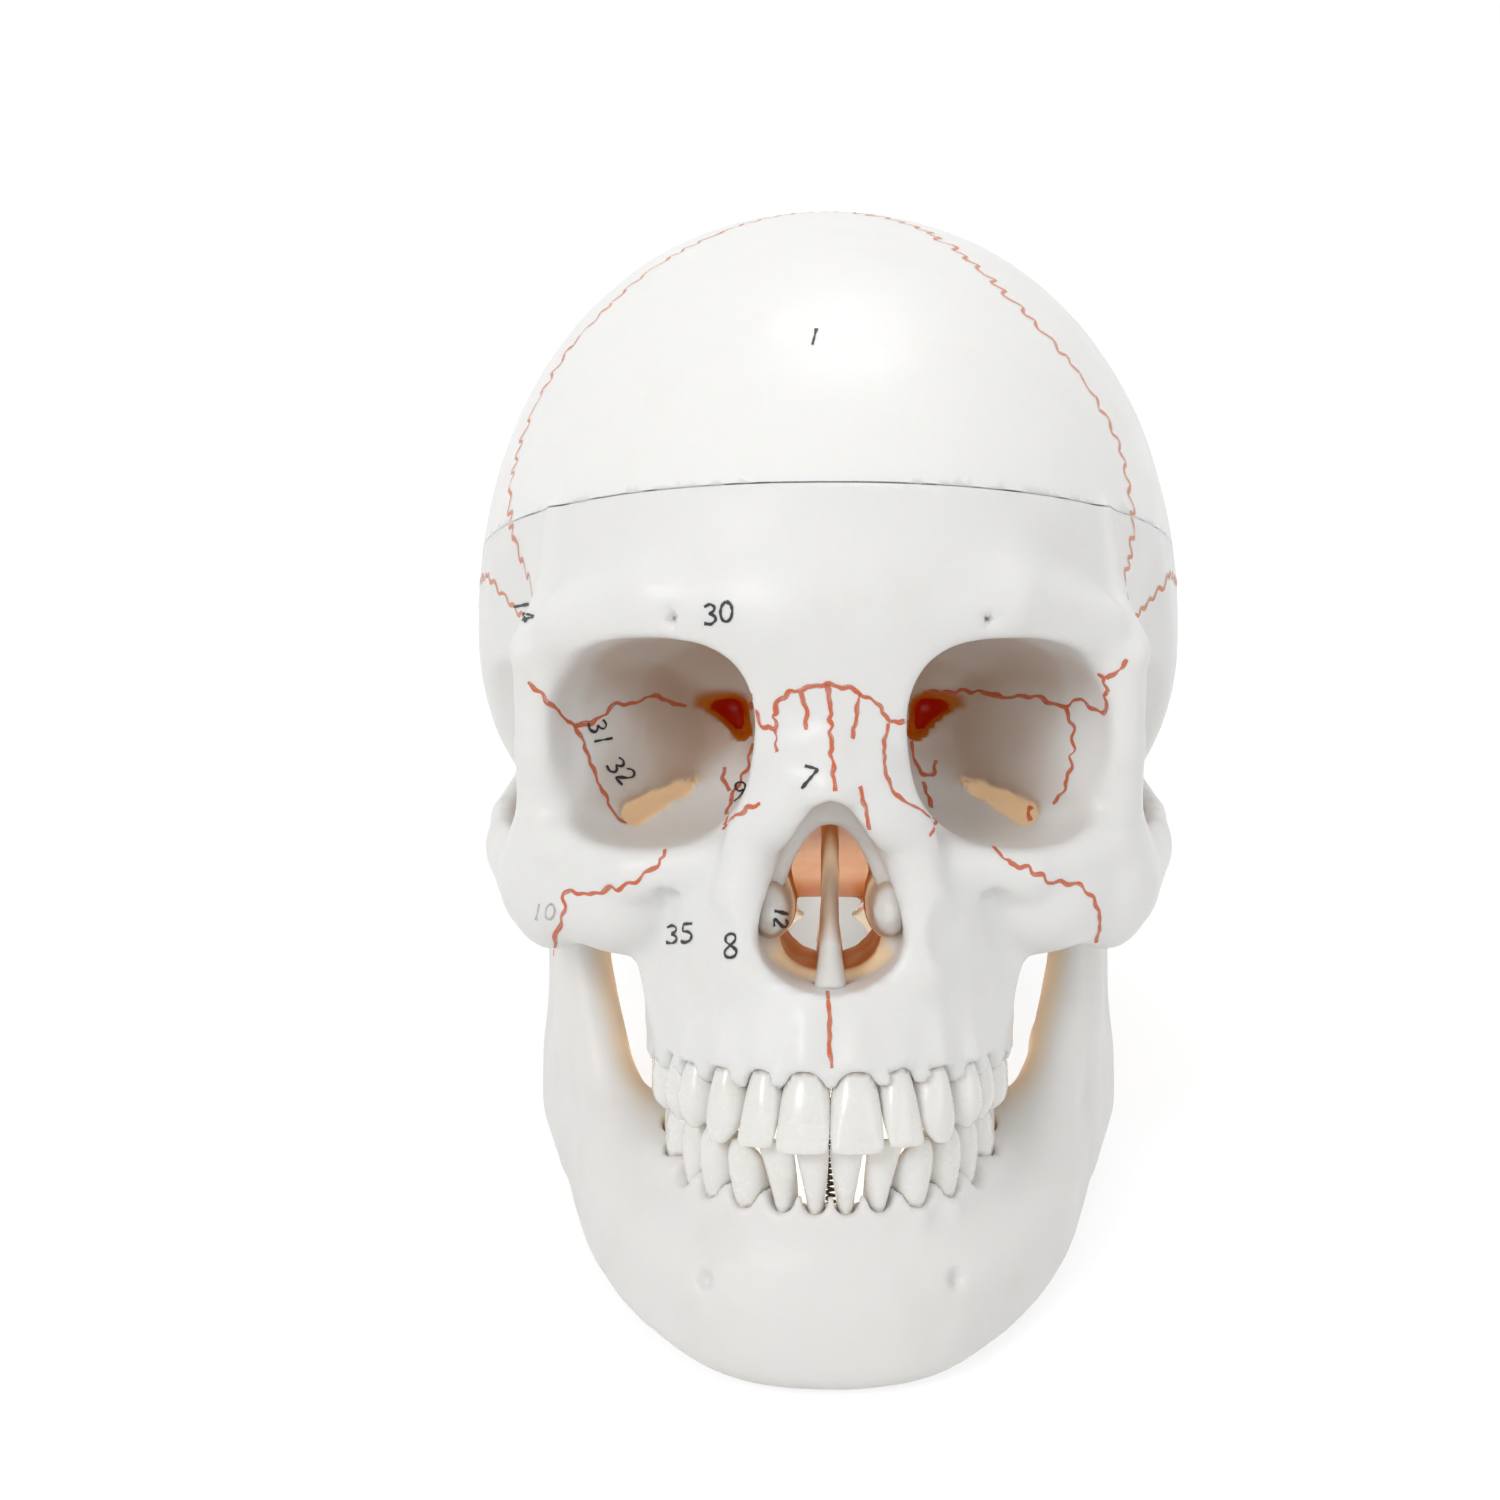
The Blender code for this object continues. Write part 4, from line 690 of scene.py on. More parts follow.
def tooth_ridge(clay, jaw, half_thickness, low, high, slant, back_limit):
    """The bone that carries one row of teeth: thin at the gum, thicker behind and away from it."""
    line = clay.arch_distance(jaw["half"], jaw["front"], jaw["back"], arch_power, jaw["gum"], slant)
    away = clay.number("ABSOLUTE", clay.number("SUBTRACT", clay.up, jaw["gum"]))
    behind = clay.number("SUBTRACT", clay.along, jaw["front"])
    grow = clay.number("MULTIPLY_ADD", behind, 0.065, clay.number("MULTIPLY", away, 0.18))
    half = clay.number("MINIMUM", clay.number("ADD", half_thickness, clay.number("MAXIMUM", grow, 0.0)),
                       0.0062)
    ridge = clay.fence(line, low, high, half, 0.0024)
    return clay.keep(ridge, clay.plane(at((0, back_limit, 0)), (0, 1, 0)), crisp_blend)


def gum_edge(clay, jaw):
    """The level of the bone's edge between the teeth."""
    behind = clay.number("SUBTRACT", clay.along, jaw["front"])
    return clay.number("MULTIPLY_ADD", behind, jaw["slope"], jaw["gum"] + jaw["up"] * papilla)


def add_roots(clay, solid, row, up):
    """Faint upright swellings over the front roots."""
    for tooth in row[:4]:
        front = tooth["place"] + tooth["outward"] * (tooth["depth"] / 2 - 0.0012)
        points = [front + Vector((0, 0, -up * step)) - tooth["outward"] * step * 0.14
                  for step in (0.0010, 0.0075 if tooth["kind"] != "canine" else 0.0110)]
        solid = clay.join(solid, clay.rod(points, (tooth["width"] * 0.30, tooth["width"] * 0.16)), 0.0030)
    return solid


def cut_necks(clay, solid, row, up):
    """Scallops of the bone round the neck of each tooth."""
    for tooth in row[:7]:
        radius = tooth["width"] * neck_share
        middle = tooth["place"] + Vector((0, 0, up * (radius - 0.0003)))
        beyond = 0.0004 - radius if tooth["kind"].endswith("_molar") else 0.003
        reach = tooth["outward"] * (tooth["depth"] / 2 + beyond)
        solid = clay.cut(solid, clay.rod([middle - reach, middle + reach], (radius, radius)), sharp_blend)
    return solid


papilla = 0.0030
neck_share = 0.40


def skull_mesh():
    """Skull base, face and cap in one skin, in the head's frame."""
    clay = Clay("Skull clay")
    half_breadth = clay.size("Braincase Half Breadth", braincase_half_breadth)
    solid = braincase(clay, half_breadth, 0)
    solid = add_balls(clay, solid, BASE_BALLS, soft_blend)
    solid = add_rods(clay, solid, BASE_RODS, soft_blend)
    solid = clay.cut(solid, clay.ball(at(temple_hollow[0]), at(temple_hollow[1])), firm_blend)
    solid = clay.cut(solid, clay.ball(at(temple_shave[0]), at(temple_shave[1])), crisp_blend)
    solid = add_balls(clay, solid, FACE_BALLS, firm_blend)
    solid = add_rods(clay, solid, FACE_RODS, firm_blend)
    ridge = tooth_ridge(clay, UPPER, clay.size("Upper Ridge Half Thickness", 0.0036), gum_edge(clay, UPPER),
                        along(-0.080), 0.35, -0.200)
    solid = clay.join(solid, ridge, firm_blend)
    solid = add_roots(clay, solid, rows["upper"], -1)
    arch = clay.rod([at(point) for point in cheek_arch], [along(radius) for radius in cheek_arch_radii], 0.5)
    solid = clay.join(solid, arch, crisp_blend)
    orbit = orbit_cavity(clay, clay.size("Orbit Half Width", 0.0180), clay.size("Orbit Half Height", 0.0173))
    solid = clay.cut(solid, orbit, crisp_blend)
    nose = nasal_passage(clay, clay.size("Nose Half Width", nose_half_width))
    solid = clay.cut(solid, nose, sharp_blend)
    solid = clay.cut(solid, clay.ball(at(mouth_roof[0]), at(mouth_roof[1])), crisp_blend)
    solid = clay.cut(solid, cranial_cavity(clay, half_breadth), crisp_blend)
    solid = clay.cut(solid, clay.ball(at(foramen[0]), at(foramen[1])), crisp_blend)
    for points, radii in HOLES.values():
        hole = clay.rod([at(point) for point in points], [along(radius) for radius in radii])
        solid = clay.cut(solid, hole, sharp_blend)
    for centre, radii in DENTS.values():
        solid = clay.cut(solid, clay.ball(at(centre), at(radii)), sharp_blend)
    room = condyle_radii + Vector((joint_gap, joint_gap, joint_gap))
    solid = clay.cut(solid, clay.ball(condyle, room), crisp_blend)
    swing = Matrix.Rotation(jaw_opening, 3, "X") @ (neck_foot - condyle)
    neck_room = condyle_radii.z + joint_gap
    swept = clay.rod([condyle, condyle + swing * 1.5], [neck_room, neck_room + joint_gap])
    solid = clay.cut(solid, swept, crisp_blend)
    solid = cut_necks(clay, solid, rows["upper"], -1)
    solid = clay.ripple(solid, 0.011, 0.00022)
    solid = clay.keep(solid, clay.plane(ground_point, ground_way), sharp_blend)
    return clay.solid(solid, at((-0.360, -0.530, -0.240)), at((0.360, 0.450, 0.580)), skull_cell, base_bone)


skull_skin = skull_mesh()
print("skull skin:", len(skull_skin.polygons), "faces")

# %% [markdown]
# ## The lower jaw
# A horseshoe base with a chin, a thinner ridge for the teeth above it, and two flat branches that end
# in the condyles. It is cast apart from the skull.

# %% Lower jaw
JAW_RODS = {
    "back_border": (((0.234, -0.062, -0.280), (0.239, -0.054, -0.080)), (0.022, 0.020)),
    "front_border": (((0.165, -0.290, -0.325), (0.194, -0.225, -0.230), (0.216, -0.190, -0.120),
                      (0.226, -0.178, -0.022)), (0.030, 0.024, 0.018, 0.012)),
}
JAW_BALLS = {
    "ramus_plate": ((0.228, -0.122, -0.190), (0.022, 0.088, 0.125)),
    "angle": ((0.230, -0.077, -0.265), (0.022, 0.052, 0.048)),
    "chin": ((0, -0.420, -0.395), (0.105, 0.036, 0.040)),
    "behind_the_molars": ((0.155, -0.222, -0.290), (0.045, 0.040, 0.040)),
}
jaw_foramen = (0.102, -0.437, -0.356)


def jaw_mesh():
    """The lower jaw in the head's frame."""
    clay = Clay("Jaw clay")
    chin_front, chin_bottom, base_rise = -0.0850, -0.0877, 0.385
    base_line = clay.arch_distance(0.0438, chin_front, -0.0050, 2.3)
    low = clay.number("MULTIPLY_ADD", clay.number("SUBTRACT", clay.along, chin_front), base_rise, chin_bottom)
    body = clay.fence(base_line, low, clay.number("ADD", low, 0.0190), clay.size("Jaw Half Wall", 0.0058),
                      0.0048)
    body = clay.keep(body, clay.plane(at((0, -0.060, 0)), (0, 1, 0)), firm_blend)
    ridge = tooth_ridge(clay, LOWER, clay.size("Lower Ridge Half Thickness", 0.0032), -0.0700,
                        gum_edge(clay, LOWER), -0.20, -0.215)
    jaw = clay.join(body, ridge, wide_blend)
    jaw = add_roots(clay, jaw, rows["lower"], 1)
    jaw = add_rods(clay, jaw, JAW_RODS, soft_blend)
    jaw = add_balls(clay, jaw, JAW_BALLS, soft_blend)
    jaw = clay.join(jaw, clay.rod([neck_foot, condyle], [0.0040, 0.0040]), soft_blend)
    jaw = clay.join(jaw, clay.ball(condyle, condyle_radii), crisp_blend)
    jaw = clay.cut(jaw, clay.ball(at(jaw_foramen), at((0.0075, 0.008, 0.008))), sharp_blend)
    jaw = cut_necks(clay, jaw, rows["lower"], 1)
    jaw = clay.ripple(jaw, 0.011, 0.00022)
    jaw = clay.keep(jaw, clay.plane(ground_point, ground_way), sharp_blend)
    return clay.solid(jaw, at((-0.330, -0.500, -0.490)), at((0.330, 0.020, 0.050)), jaw_cell, jaw_bone)


jaw_skin = jaw_mesh()
print("jaw skin:", len(jaw_skin.polygons), "faces")

# %% [markdown]
# ## Saw the cap off, thin the meshes and measure the hollows
# The real cap is sawn from the cast, so the two halves share one skin. The same plane cuts the mesh
# here. Rays in many directions then measure how enclosed each point is; the shader paints shade and
# glow from the result.

# %% Cut, thin and measure
def thinned(mesh, triangles):
    """The same skin with about this many triangles."""
    count = sum(len(face.vertices) - 2 for face in mesh.polygons)
    carrier = bpy.data.objects.new(mesh.name, mesh)
    bpy.context.collection.objects.link(carrier)
    modifier = carrier.modifiers.new("Thin", "DECIMATE")
    modifier.ratio = min(1.0, triangles / count)
    graph = bpy.context.evaluated_depsgraph_get()
    result = bpy.data.meshes.new_from_object(carrier.evaluated_get(graph))
    bpy.data.objects.remove(carrier)
    return result


def sawn(mesh, point, normal, name):
    """The part of the mesh on the side that the normal points away from, closed at the cut."""
    shape = bmesh.new()
    shape.from_mesh(mesh)
    everything = shape.verts[:] + shape.edges[:] + shape.faces[:]
    bmesh.ops.bisect_plane(shape, geom=everything, plane_co=point, plane_no=normal, clear_outer=True)
    rim = [edge for edge in shape.edges if edge.is_boundary]
    for edge in rim:
        edge.smooth = False
    lid = bmesh.ops.triangle_fill(shape, edges=rim, use_beauty=True)
    bmesh.ops.recalc_face_normals(shape, faces=shape.faces)
    for face in shape.faces:
        face.smooth = True
    result = bpy.data.meshes.new(name)
    shape.to_mesh(result)
    print(name, "faces", len(shape.faces), "lid", len(lid["geom"]))
    shape.free()
    return result


def chain(clay, *labels):
    """Distance to some of the holes."""
    result = None
    for label in labels:
        points, radii = HOLES[label]
        near = clay.rod([at(point) for point in points], [along(radius) for radius in radii])
        result = near if result is None else clay.number("MINIMUM", result, near)
    return result


def clamped(clay, value):
    """The value held between 0 and 1."""
    return clay.number("MINIMUM", clay.number("MAXIMUM", value, 0.0), 1.0)


def ramp(clay, value, slope, start):
    """From 0 at the start up to 1, as the value rises, or as it falls where the slope is negative."""
    return clamped(clay, clay.number("MULTIPLY_ADD", value, slope, -slope * start))


def fading(clay, distance, slope):
    """1 at the place itself, down to 0 away from it."""
    return clamped(clay, clay.number("MULTIPLY_ADD", distance, slope, 1.0))


def nose_painted_glow(clay):
    """Painted glow, peach high up behind the rim of the nose and orange on its floor; and how near the nose is."""
    near = clay.number("ABSOLUTE", nasal_passage(clay, nose_half_width))
    share = fading(clay, near, -500.0)
    low = ramp(clay, clay.up, -170.0, -0.0140)
    start = clay.number("MULTIPLY_ADD", low, 0.0060, 0.0730)
    behind = clamped(clay, clay.number("MULTIPLY", clay.number("ADD", clay.along, start), 130.0))
    warmth = clay.number("MULTIPLY", clay.number("MULTIPLY", share, behind),
                         clay.number("MULTIPLY_ADD", low, 0.18, 0.52))
    return warmth, share


skin_start, skin_run = 0.0012, 0.0016
# Painted glow at the lower fissures of the orbits; less painted shade near the nose.
fissure_painted_glow, nose_shade_loss = 0.30, -0.15


def hollow_tree(rays=28):
    """Geometry Nodes: store the painted shade, from 0 in the open to 1 deep inside and less on faces turned
    up to the light, the painted warm glow of the nose, the lower fissures and the jaw's inner side, and
    the painted red glow round the upper fissures of the orbits."""
    clay = Clay("Hollow measure")
    tree = clay.tree
    for label, kind in (("Around", "Object"), ("Reach", "Float"), ("Lift", "Float"),
                        ("Inner Warmth", "Float")):
        tree.interface.new_socket(label, in_out="INPUT", socket_type="NodeSocket" + kind)
    new, link = tree.nodes.new, tree.links.new
    entry, output = clay.entry, new("NodeGroupOutput")
    from_cavity = cranial_cavity(clay, braincase_half_breadth)
    skin_depth = clay.number("DIVIDE", clay.number("SUBTRACT", from_cavity, skin_start), skin_run)
    outside = clamped(clay, skin_depth)
    # Painted glow: red round the upper fissures, peach round the lower ones and in the nose, where light through the
    # thin walls would show.
    under = ramp(clay, clay.up, -350.0, 0.0195)
    fall = clay.number("MULTIPLY_ADD", under, -1900.0, -420.0)
    ember = fading(clay, chain(clay, "upper_fissure", "upper_fissure_back"), fall)
    depth = ramp(clay, clay.along, 110.0, -0.0480)
    ember = clay.number("MULTIPLY", ember, depth)
    below_eye = fading(clay, chain(clay, "lower_fissure", "lower_fissure_back"), -1500.0)
    in_nose, near_nose = nose_painted_glow(clay)
    warmth = clay.number("MAXIMUM", clay.number("MULTIPLY", below_eye, fissure_painted_glow), in_nose)
    outside = clay.number("MULTIPLY", outside, clay.number("MULTIPLY_ADD", near_nose, nose_shade_loss, 1.0))
    around = new("GeometryNodeObjectInfo")
    link(entry.outputs["Around"], around.inputs[0])
    normal, place = new("GeometryNodeInputNormal").outputs[0], new("GeometryNodeInputPosition").outputs[0]
    lifted = new("ShaderNodeVectorMath")
    lifted.operation = "MULTIPLY_ADD"
    link(normal, lifted.inputs[0])
    link(entry.outputs["Lift"], lifted.inputs[1])
    link(place, lifted.inputs[2])
    total, weight = 0.0, 0.0
    for ray in range(rays):
        height = 1 - 2 * (ray + 0.5) / rays
        turn = ray * math.pi * (3 - math.sqrt(5))
        flat = math.sqrt(1 - height * height)
        direction = (flat * math.cos(turn), flat * math.sin(turn), height)
        facing = new("ShaderNodeVectorMath")
        facing.operation = "DOT_PRODUCT"
        link(normal, facing.inputs[0])
        facing.inputs[1].default_value = direction
        share = clay.number("MAXIMUM", facing.outputs["Value"], 0.0)
        cast = new("GeometryNodeRaycast")
        link(around.outputs["Geometry"], cast.inputs["Target Geometry"])
        link(lifted.outputs[0], cast.inputs["Source Position"])
        cast.inputs["Ray Direction"].default_value = direction
        link(entry.outputs["Reach"], cast.inputs["Ray Length"])
        away = clay.number("DIVIDE", cast.outputs["Hit Distance"], entry.outputs["Reach"])
        near = clay.number("SUBTRACT", 1.0, away)
        met = clay.number("MULTIPLY", cast.outputs["Is Hit"], clay.number("POWER", near, 0.5))
        total = clay.number("MULTIPLY_ADD", met, share, total)
        weight = clay.number("ADD", weight, share)
    smooth = new("GeometryNodeBlurAttribute")
    link(clay.number("MULTIPLY", clay.number("DIVIDE", total, weight), outside), smooth.inputs["Value"])
    smooth.inputs["Iterations"].default_value = 3
    parts = [new("ShaderNodeSeparateXYZ") for _ in range(2)]
    link(normal, parts[0].inputs[0])
    link(place, parts[1].inputs[0])
    # Painted warm glow on faces turned towards the middle, behind the front, set by the inner glow input; only the jaw
    # uses it.
    inward = clay.number("MULTIPLY", parts[0].outputs[0], clay.number("SIGN", parts[1].outputs[0]))
    inward = clamped(clay, clay.number("MULTIPLY", inward, -1.4))
    behind = ramp(clay, parts[1].outputs[1], 50.0, -0.070)
    inward = clay.number("MULTIPLY", clay.number("MULTIPLY", inward, behind), entry.outputs["Inner Warmth"])
    warmth = clay.number("MAXIMUM", warmth, inward)
    # Painted shade: less of it on faces turned up, as if lit from above.
    upward = clamped(clay, clay.number("MULTIPLY", parts[0].outputs[2], 1.3))
    shade = clay.number("MULTIPLY", smooth.outputs[0], clay.number("MULTIPLY_ADD", upward, -0.45, 1.0))
    flow = entry.outputs["Geometry"]
    for label, value in (("hollow", shade), ("warmth", warmth), ("ember", ember)):
        store = new("GeometryNodeStoreNamedAttribute")
        store.inputs["Name"].default_value = label
        link(flow, store.inputs["Geometry"])
        link(value, store.inputs["Value"])
        flow = store.outputs[0]
    real, coat = new("GeometryNodeRealizeInstances"), new("GeometryNodeSetMaterial")
    coat.inputs["Material"].default_value = base_bone
    link(flow, real.inputs[0])
    link(real.outputs[0], coat.inputs[0])
    link(coat.outputs[0], output.inputs[0])
    return tree


measure = hollow_tree()
# The jaw gets a painted warm glow on its inner side.
ray_lift, shade_reach, jaw_reach, jaw_inner_painted_glow = 0.0006, 0.060, 0.130, 0.25
base_triangles, cap_triangles, jaw_triangles = 195000, 90000, 150000


def measured(mesh, around, reach, inner_painted_glow=0.0):
    """The mesh with its painted shade and glow, measured against another mesh."""
    target = bpy.data.objects.new("around", around)
    bpy.context.collection.objects.link(target)
    result = grown(measure, mesh.name, {"Around": target, "Reach": reach, "Lift": ray_lift,
                                         "Inner Warmth": inner_painted_glow}, mesh)
    bpy.data.objects.remove(target)
    return result


base_mesh = thinned(sawn(skull_skin, cut_point, cut_normal, "base"), base_triangles)
cap_mesh = thinned(sawn(skull_skin, cut_point + cut_normal * cut_gap, -cut_normal, "cap"), cap_triangles)
jaw_thin = thinned(jaw_skin, jaw_triangles)
base_mesh = measured(base_mesh, skull_skin, shade_reach)
cap_mesh = measured(cap_mesh, skull_skin, shade_reach)
jaw_thin = measured(jaw_thin, jaw_thin.copy(), jaw_reach, jaw_inner_painted_glow)
print("hollows measured:", [item.name for item in base_mesh.attributes if item.data_type == "FLOAT"])

# %% [markdown]
# ## The three bones take their places
# The shapes were made in the head's own frame. Each is leaned back onto the table here, rides the
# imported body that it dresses, and keeps a copy that the teeth and the painted lines are fitted to.

# %% Pieces for the three bones
def piece(name, mesh, material, body, slot, replaced=(), smooth=True):
    """One visible piece: the mesh, given in the head's frame, moved to the table's frame."""
    mesh.transform(to_world)
    mesh.materials.clear()
    mesh.materials.append(material)
    if smooth:
        mesh.polygons.foreach_set("use_smooth", [True] * len(mesh.polygons))
    mesh.update()
    thing = bpy.data.objects.new(name, mesh)
    bpy.context.collection.objects.link(thing)
    if body:
        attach(thing, body)
    if replaced:
        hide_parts(*replaced)
    return thing


def skin_tree(mesh):
    """The mesh as a tree that rays can be shot at, in the head's frame."""
    return BVHTree.FromPolygons([corner.co.copy() for corner in mesh.vertices],
                                [tuple(face.vertices) for face in mesh.polygons])


skin_trees = {"skull_base": skin_tree(base_mesh), "calvaria": skin_tree(cap_mesh),
              "mandible": skin_tree(jaw_thin)}
piece("skull_base_cast", base_mesh, base_bone, "skull_base", "bone", ("skull_base",))
piece("calvaria_cast", cap_mesh, cap_bone, "calvaria", "cap_bone", ("calvaria",))
piece("mandible_cast", jaw_thin, jaw_bone, "mandible", "jaw_bone", ("mandible",))
print("bones:", len(base_mesh.polygons), len(cap_mesh.polygons), len(jaw_thin.polygons))

# %% [markdown]
# ## Teeth
# Each tooth is cast on its own and glued into its socket. A front tooth is a blade with a thick neck
# and a thin edge, a canine comes to a point, and a back tooth is a rounded block with cusps. A thin
# brown line of glue and dirt shows where each one meets the bone.

# %% Tooth shapes
ENAMEL_SHAPES = {
    "incisor": ((-0.9, 0.46, 0.62), (-0.3, 0.62, 0.80), (0.0, 0.74, 0.90), (0.18, 0.84, 0.98),
                (0.40, 0.94, 0.90), (0.65, 0.99, 0.64), (0.85, 1.00, 0.38), (0.96, 0.96, 0.24)),
    "peg": ((-0.9, 0.36, 0.62), (-0.3, 0.44, 0.80), (0.0, 0.50, 0.90), (0.20, 0.58, 0.96),
            (0.42, 0.74, 0.86), (0.66, 0.90, 0.62), (0.85, 1.00, 0.38), (0.96, 0.98, 0.26)),
    "canine": ((-0.9, 0.44, 0.66), (-0.3, 0.58, 0.84), (0.0, 0.68, 0.92), (0.20, 0.80, 1.00),
               (0.45, 0.94, 0.92), (0.68, 0.98, 0.70), (0.84, 0.80, 0.48), (0.96, 0.46, 0.28)),
    "premolar": ((-0.9, 0.50, 0.60), (-0.3, 0.62, 0.72), (0.0, 0.70, 0.80), (0.25, 0.84, 0.93),
                 (0.50, 0.97, 1.00), (0.75, 0.97, 0.96), (0.90, 0.86, 0.84), (0.97, 0.72, 0.72)),
    "molar": ((-0.9, 0.60, 0.60), (-0.3, 0.70, 0.72), (0.0, 0.78, 0.82), (0.22, 0.90, 0.94),
              (0.45, 0.99, 1.00), (0.72, 0.99, 0.98), (0.90, 0.92, 0.90), (0.97, 0.82, 0.80)),
}
ROUNDNESS = {"incisor": 2.2, "peg": 2.1, "canine": 2.1, "premolar": 2.4, "molar": 2.9}
tooth_sides = 32
tooth_rings = 26
crown_rings = 7


def shape_at(table, height):
    """Width and depth of a tooth at a height, smoothly between the rows of its table."""
    rows_ = list(table)
    for low, high in zip(rows_, rows_[1:]):
        if height <= high[0]:
            mix = max(0.0, (height - low[0]) / (high[0] - low[0]))
            mix = mix * mix * (3 - 2 * mix) * 0.4 + mix * 0.6
            return low[1] + mix * (high[1] - low[1]), low[2] + mix * (high[2] - low[2])
    return rows_[-1][1], rows_[-1][2]


def cusps(family, across, deep):
    """Height of the biting surface, as a share of the crown, over its outline from -1 to 1."""
    if family == "molar":
        return 0.09 * (math.sin(math.pi * abs(across)) * math.sin(math.pi * abs(deep))) ** 0.8
    if family == "premolar":
        return 0.14 * math.sin(math.pi * abs(deep)) * math.cos(across * math.pi / 2) ** 0.7
    return 0.0


def tooth_mesh(tooth, name, mark, seed):
    """One tooth with its root, in the head's frame."""
    kind = tooth["kind"]
    family = next(key for key in ENAMEL_SHAPES if kind.endswith(key))
    if family == "incisor" and tooth["place"].z < bite_level:
        family = "peg"
    table, power = ENAMEL_SHAPES[family], 2 / ROUNDNESS[family]
    wobble = Vector([noise.noise(Vector((seed * 3.1, axis * 7.7, 0.5))) for axis in range(3)])
    half_width, half_depth = tooth["width"] / 2 + 0.00009, tooth["depth"] / 2
    crown = tooth["crown"] * (1 - 0.012 * abs(wobble.x))
    loops = []
    for ring in range(tooth_rings + crown_rings):
        if ring < tooth_rings:
            height = -0.9 + (0.97 + 0.9) * ring / (tooth_rings - 1)
            shrink = 1.0
        else:
            height = 0.97
            shrink = 1 - (ring - tooth_rings + 1) / (crown_rings + 0.35)
        wide, deep = shape_at(table, height)
        loop = []
        for step in range(tooth_sides):
            turn = 2 * math.pi * step / tooth_sides
            unit_x = math.copysign(abs(math.cos(turn)) ** power, math.cos(turn))
            unit_y = math.copysign(abs(math.sin(turn)) ** power, math.sin(turn))
            level = height * (root_depth if height < 0 else crown)
            if ring >= tooth_rings:
                level += crown * (0.03 * (1 - shrink ** 3) + cusps(family, unit_x * shrink, unit_y * shrink))
            lip = (1 - deep) * half_depth * (0.42 if family in ("incisor", "peg", "canine") else 0.0)
            lip *= 1 if height > 0.2 else max(0.0, height / 0.2)
            across = unit_x * wide * half_width * shrink
            reach = unit_y * deep * half_depth * shrink + lip + tooth["lean"] * level
            if family == "incisor" and unit_y > 0:
                reach -= 0.00012 * (1 - math.cos(unit_x * 3 * math.pi)) * max(0.0, height - 0.4)
            loop.append(Vector((across, reach, level)))
        loops.append(loop)
    shape = bmesh.new()
    rings = [[shape.verts.new(point) for point in loop] for loop in loops]
    for lower, upper in zip(rings, rings[1:]):
        for step in range(tooth_sides):
            after = (step + 1) % tooth_sides
            shape.faces.new((lower[step], lower[after], upper[after], upper[step]))
    shape.faces.new(list(reversed(rings[0])))
    tip = shape.verts.new(sum((vert.co for vert in rings[-1]), Vector()) / tooth_sides)
    for step in range(tooth_sides):
        shape.faces.new((rings[-1][step], rings[-1][(step + 1) % tooth_sides], tip))
    spin = 0.035 * mark if kind == "central_incisor" else 0.03 * wobble.y
    turn = Matrix.Rotation(spin, 4, "Z") @ Matrix.Rotation(0.015 * wobble.z, 4, "Y")
    frame_ = tooth["turn"].copy()
    frame_.translation = tooth["place"]
    bmesh.ops.transform(shape, matrix=Matrix.Diagonal((mark, 1, 1, 1)) @ frame_ @ turn, verts=shape.verts)
    bmesh.ops.recalc_face_normals(shape, faces=shape.faces)
    mesh = bpy.data.meshes.new(name)
    shape.to_mesh(mesh)
    shape.free()
    return mesh


def grime_from(mesh, trees, reach, strength):
    """Store how close each point is to another surface, from 0 far off to 1 at contact."""
    layer = mesh.attributes.new("grime", "FLOAT", "POINT")
    values = []
    for corner in mesh.vertices:
        nearest = min((tree.find_nearest(corner.co)[3] for tree in trees), default=reach)
        values.append(strength * max(0.0, 1 - nearest / reach))
    layer.data.foreach_set("value", values)


print("tooth shapes:", list(ENAMEL_SHAPES))

# %% [markdown]
# ## Thirty-two teeth
# The teeth are glossier than the bone, because the real ones are cast in a harder plastic. The same
# function makes every tooth, and the left ones are mirrored to the right with a little turn of their own.

# %% Enamel
def enamel_material():
    """Glossy white tooth plastic, a little darker towards the neck, with the brown glue line."""
    material = bpy.data.materials.new("tooth_enamel")
    material.use_nodes = True
    tree = material.node_tree
    shader = tree.nodes["Principled BSDF"]
    mottle = use_group(tree, mottle_group, Colour=(0.84, 0.83, 0.80, 1), Stain=(0.78, 0.74, 0.66, 1),
                       Scale=220.0, Amount=0.4)
    factor, first, second, result = mixer(tree)
    tree.links.new(attribute(tree, "grime"), factor)
    tree.links.new(mottle.outputs[0], first)
    second.default_value = (0.22, 0.13, 0.07, 1)
    tree.links.new(result, shader.inputs["Base Color"])
    cast = use_group(tree, pore_group, Fine_Scale=1400.0, Wave_Scale=260.0)
    tree.links.new(spread(tree, cast.outputs["Rough"], 0.0, 1.0, 0.20, 0.30), shader.inputs["Roughness"])
    relief = tree.nodes.new("ShaderNodeBump")
    relief.inputs["Strength"].default_value = 0.15
    relief.inputs["Distance"].default_value = 0.0003
    tree.links.new(cast.outputs["Height"], relief.inputs["Height"])
    tree.links.new(relief.outputs[0], shader.inputs["Normal"])
    shader.inputs["Subsurface Weight"].default_value = 0.2
    shader.inputs["Subsurface Radius"].default_value = (1.0, 0.7, 0.45)
    shader.inputs["Subsurface Scale"].default_value = 0.002
    shader.inputs["Coat Weight"].default_value = 0.25
    shader.inputs["Coat Roughness"].default_value = 0.12
    return material


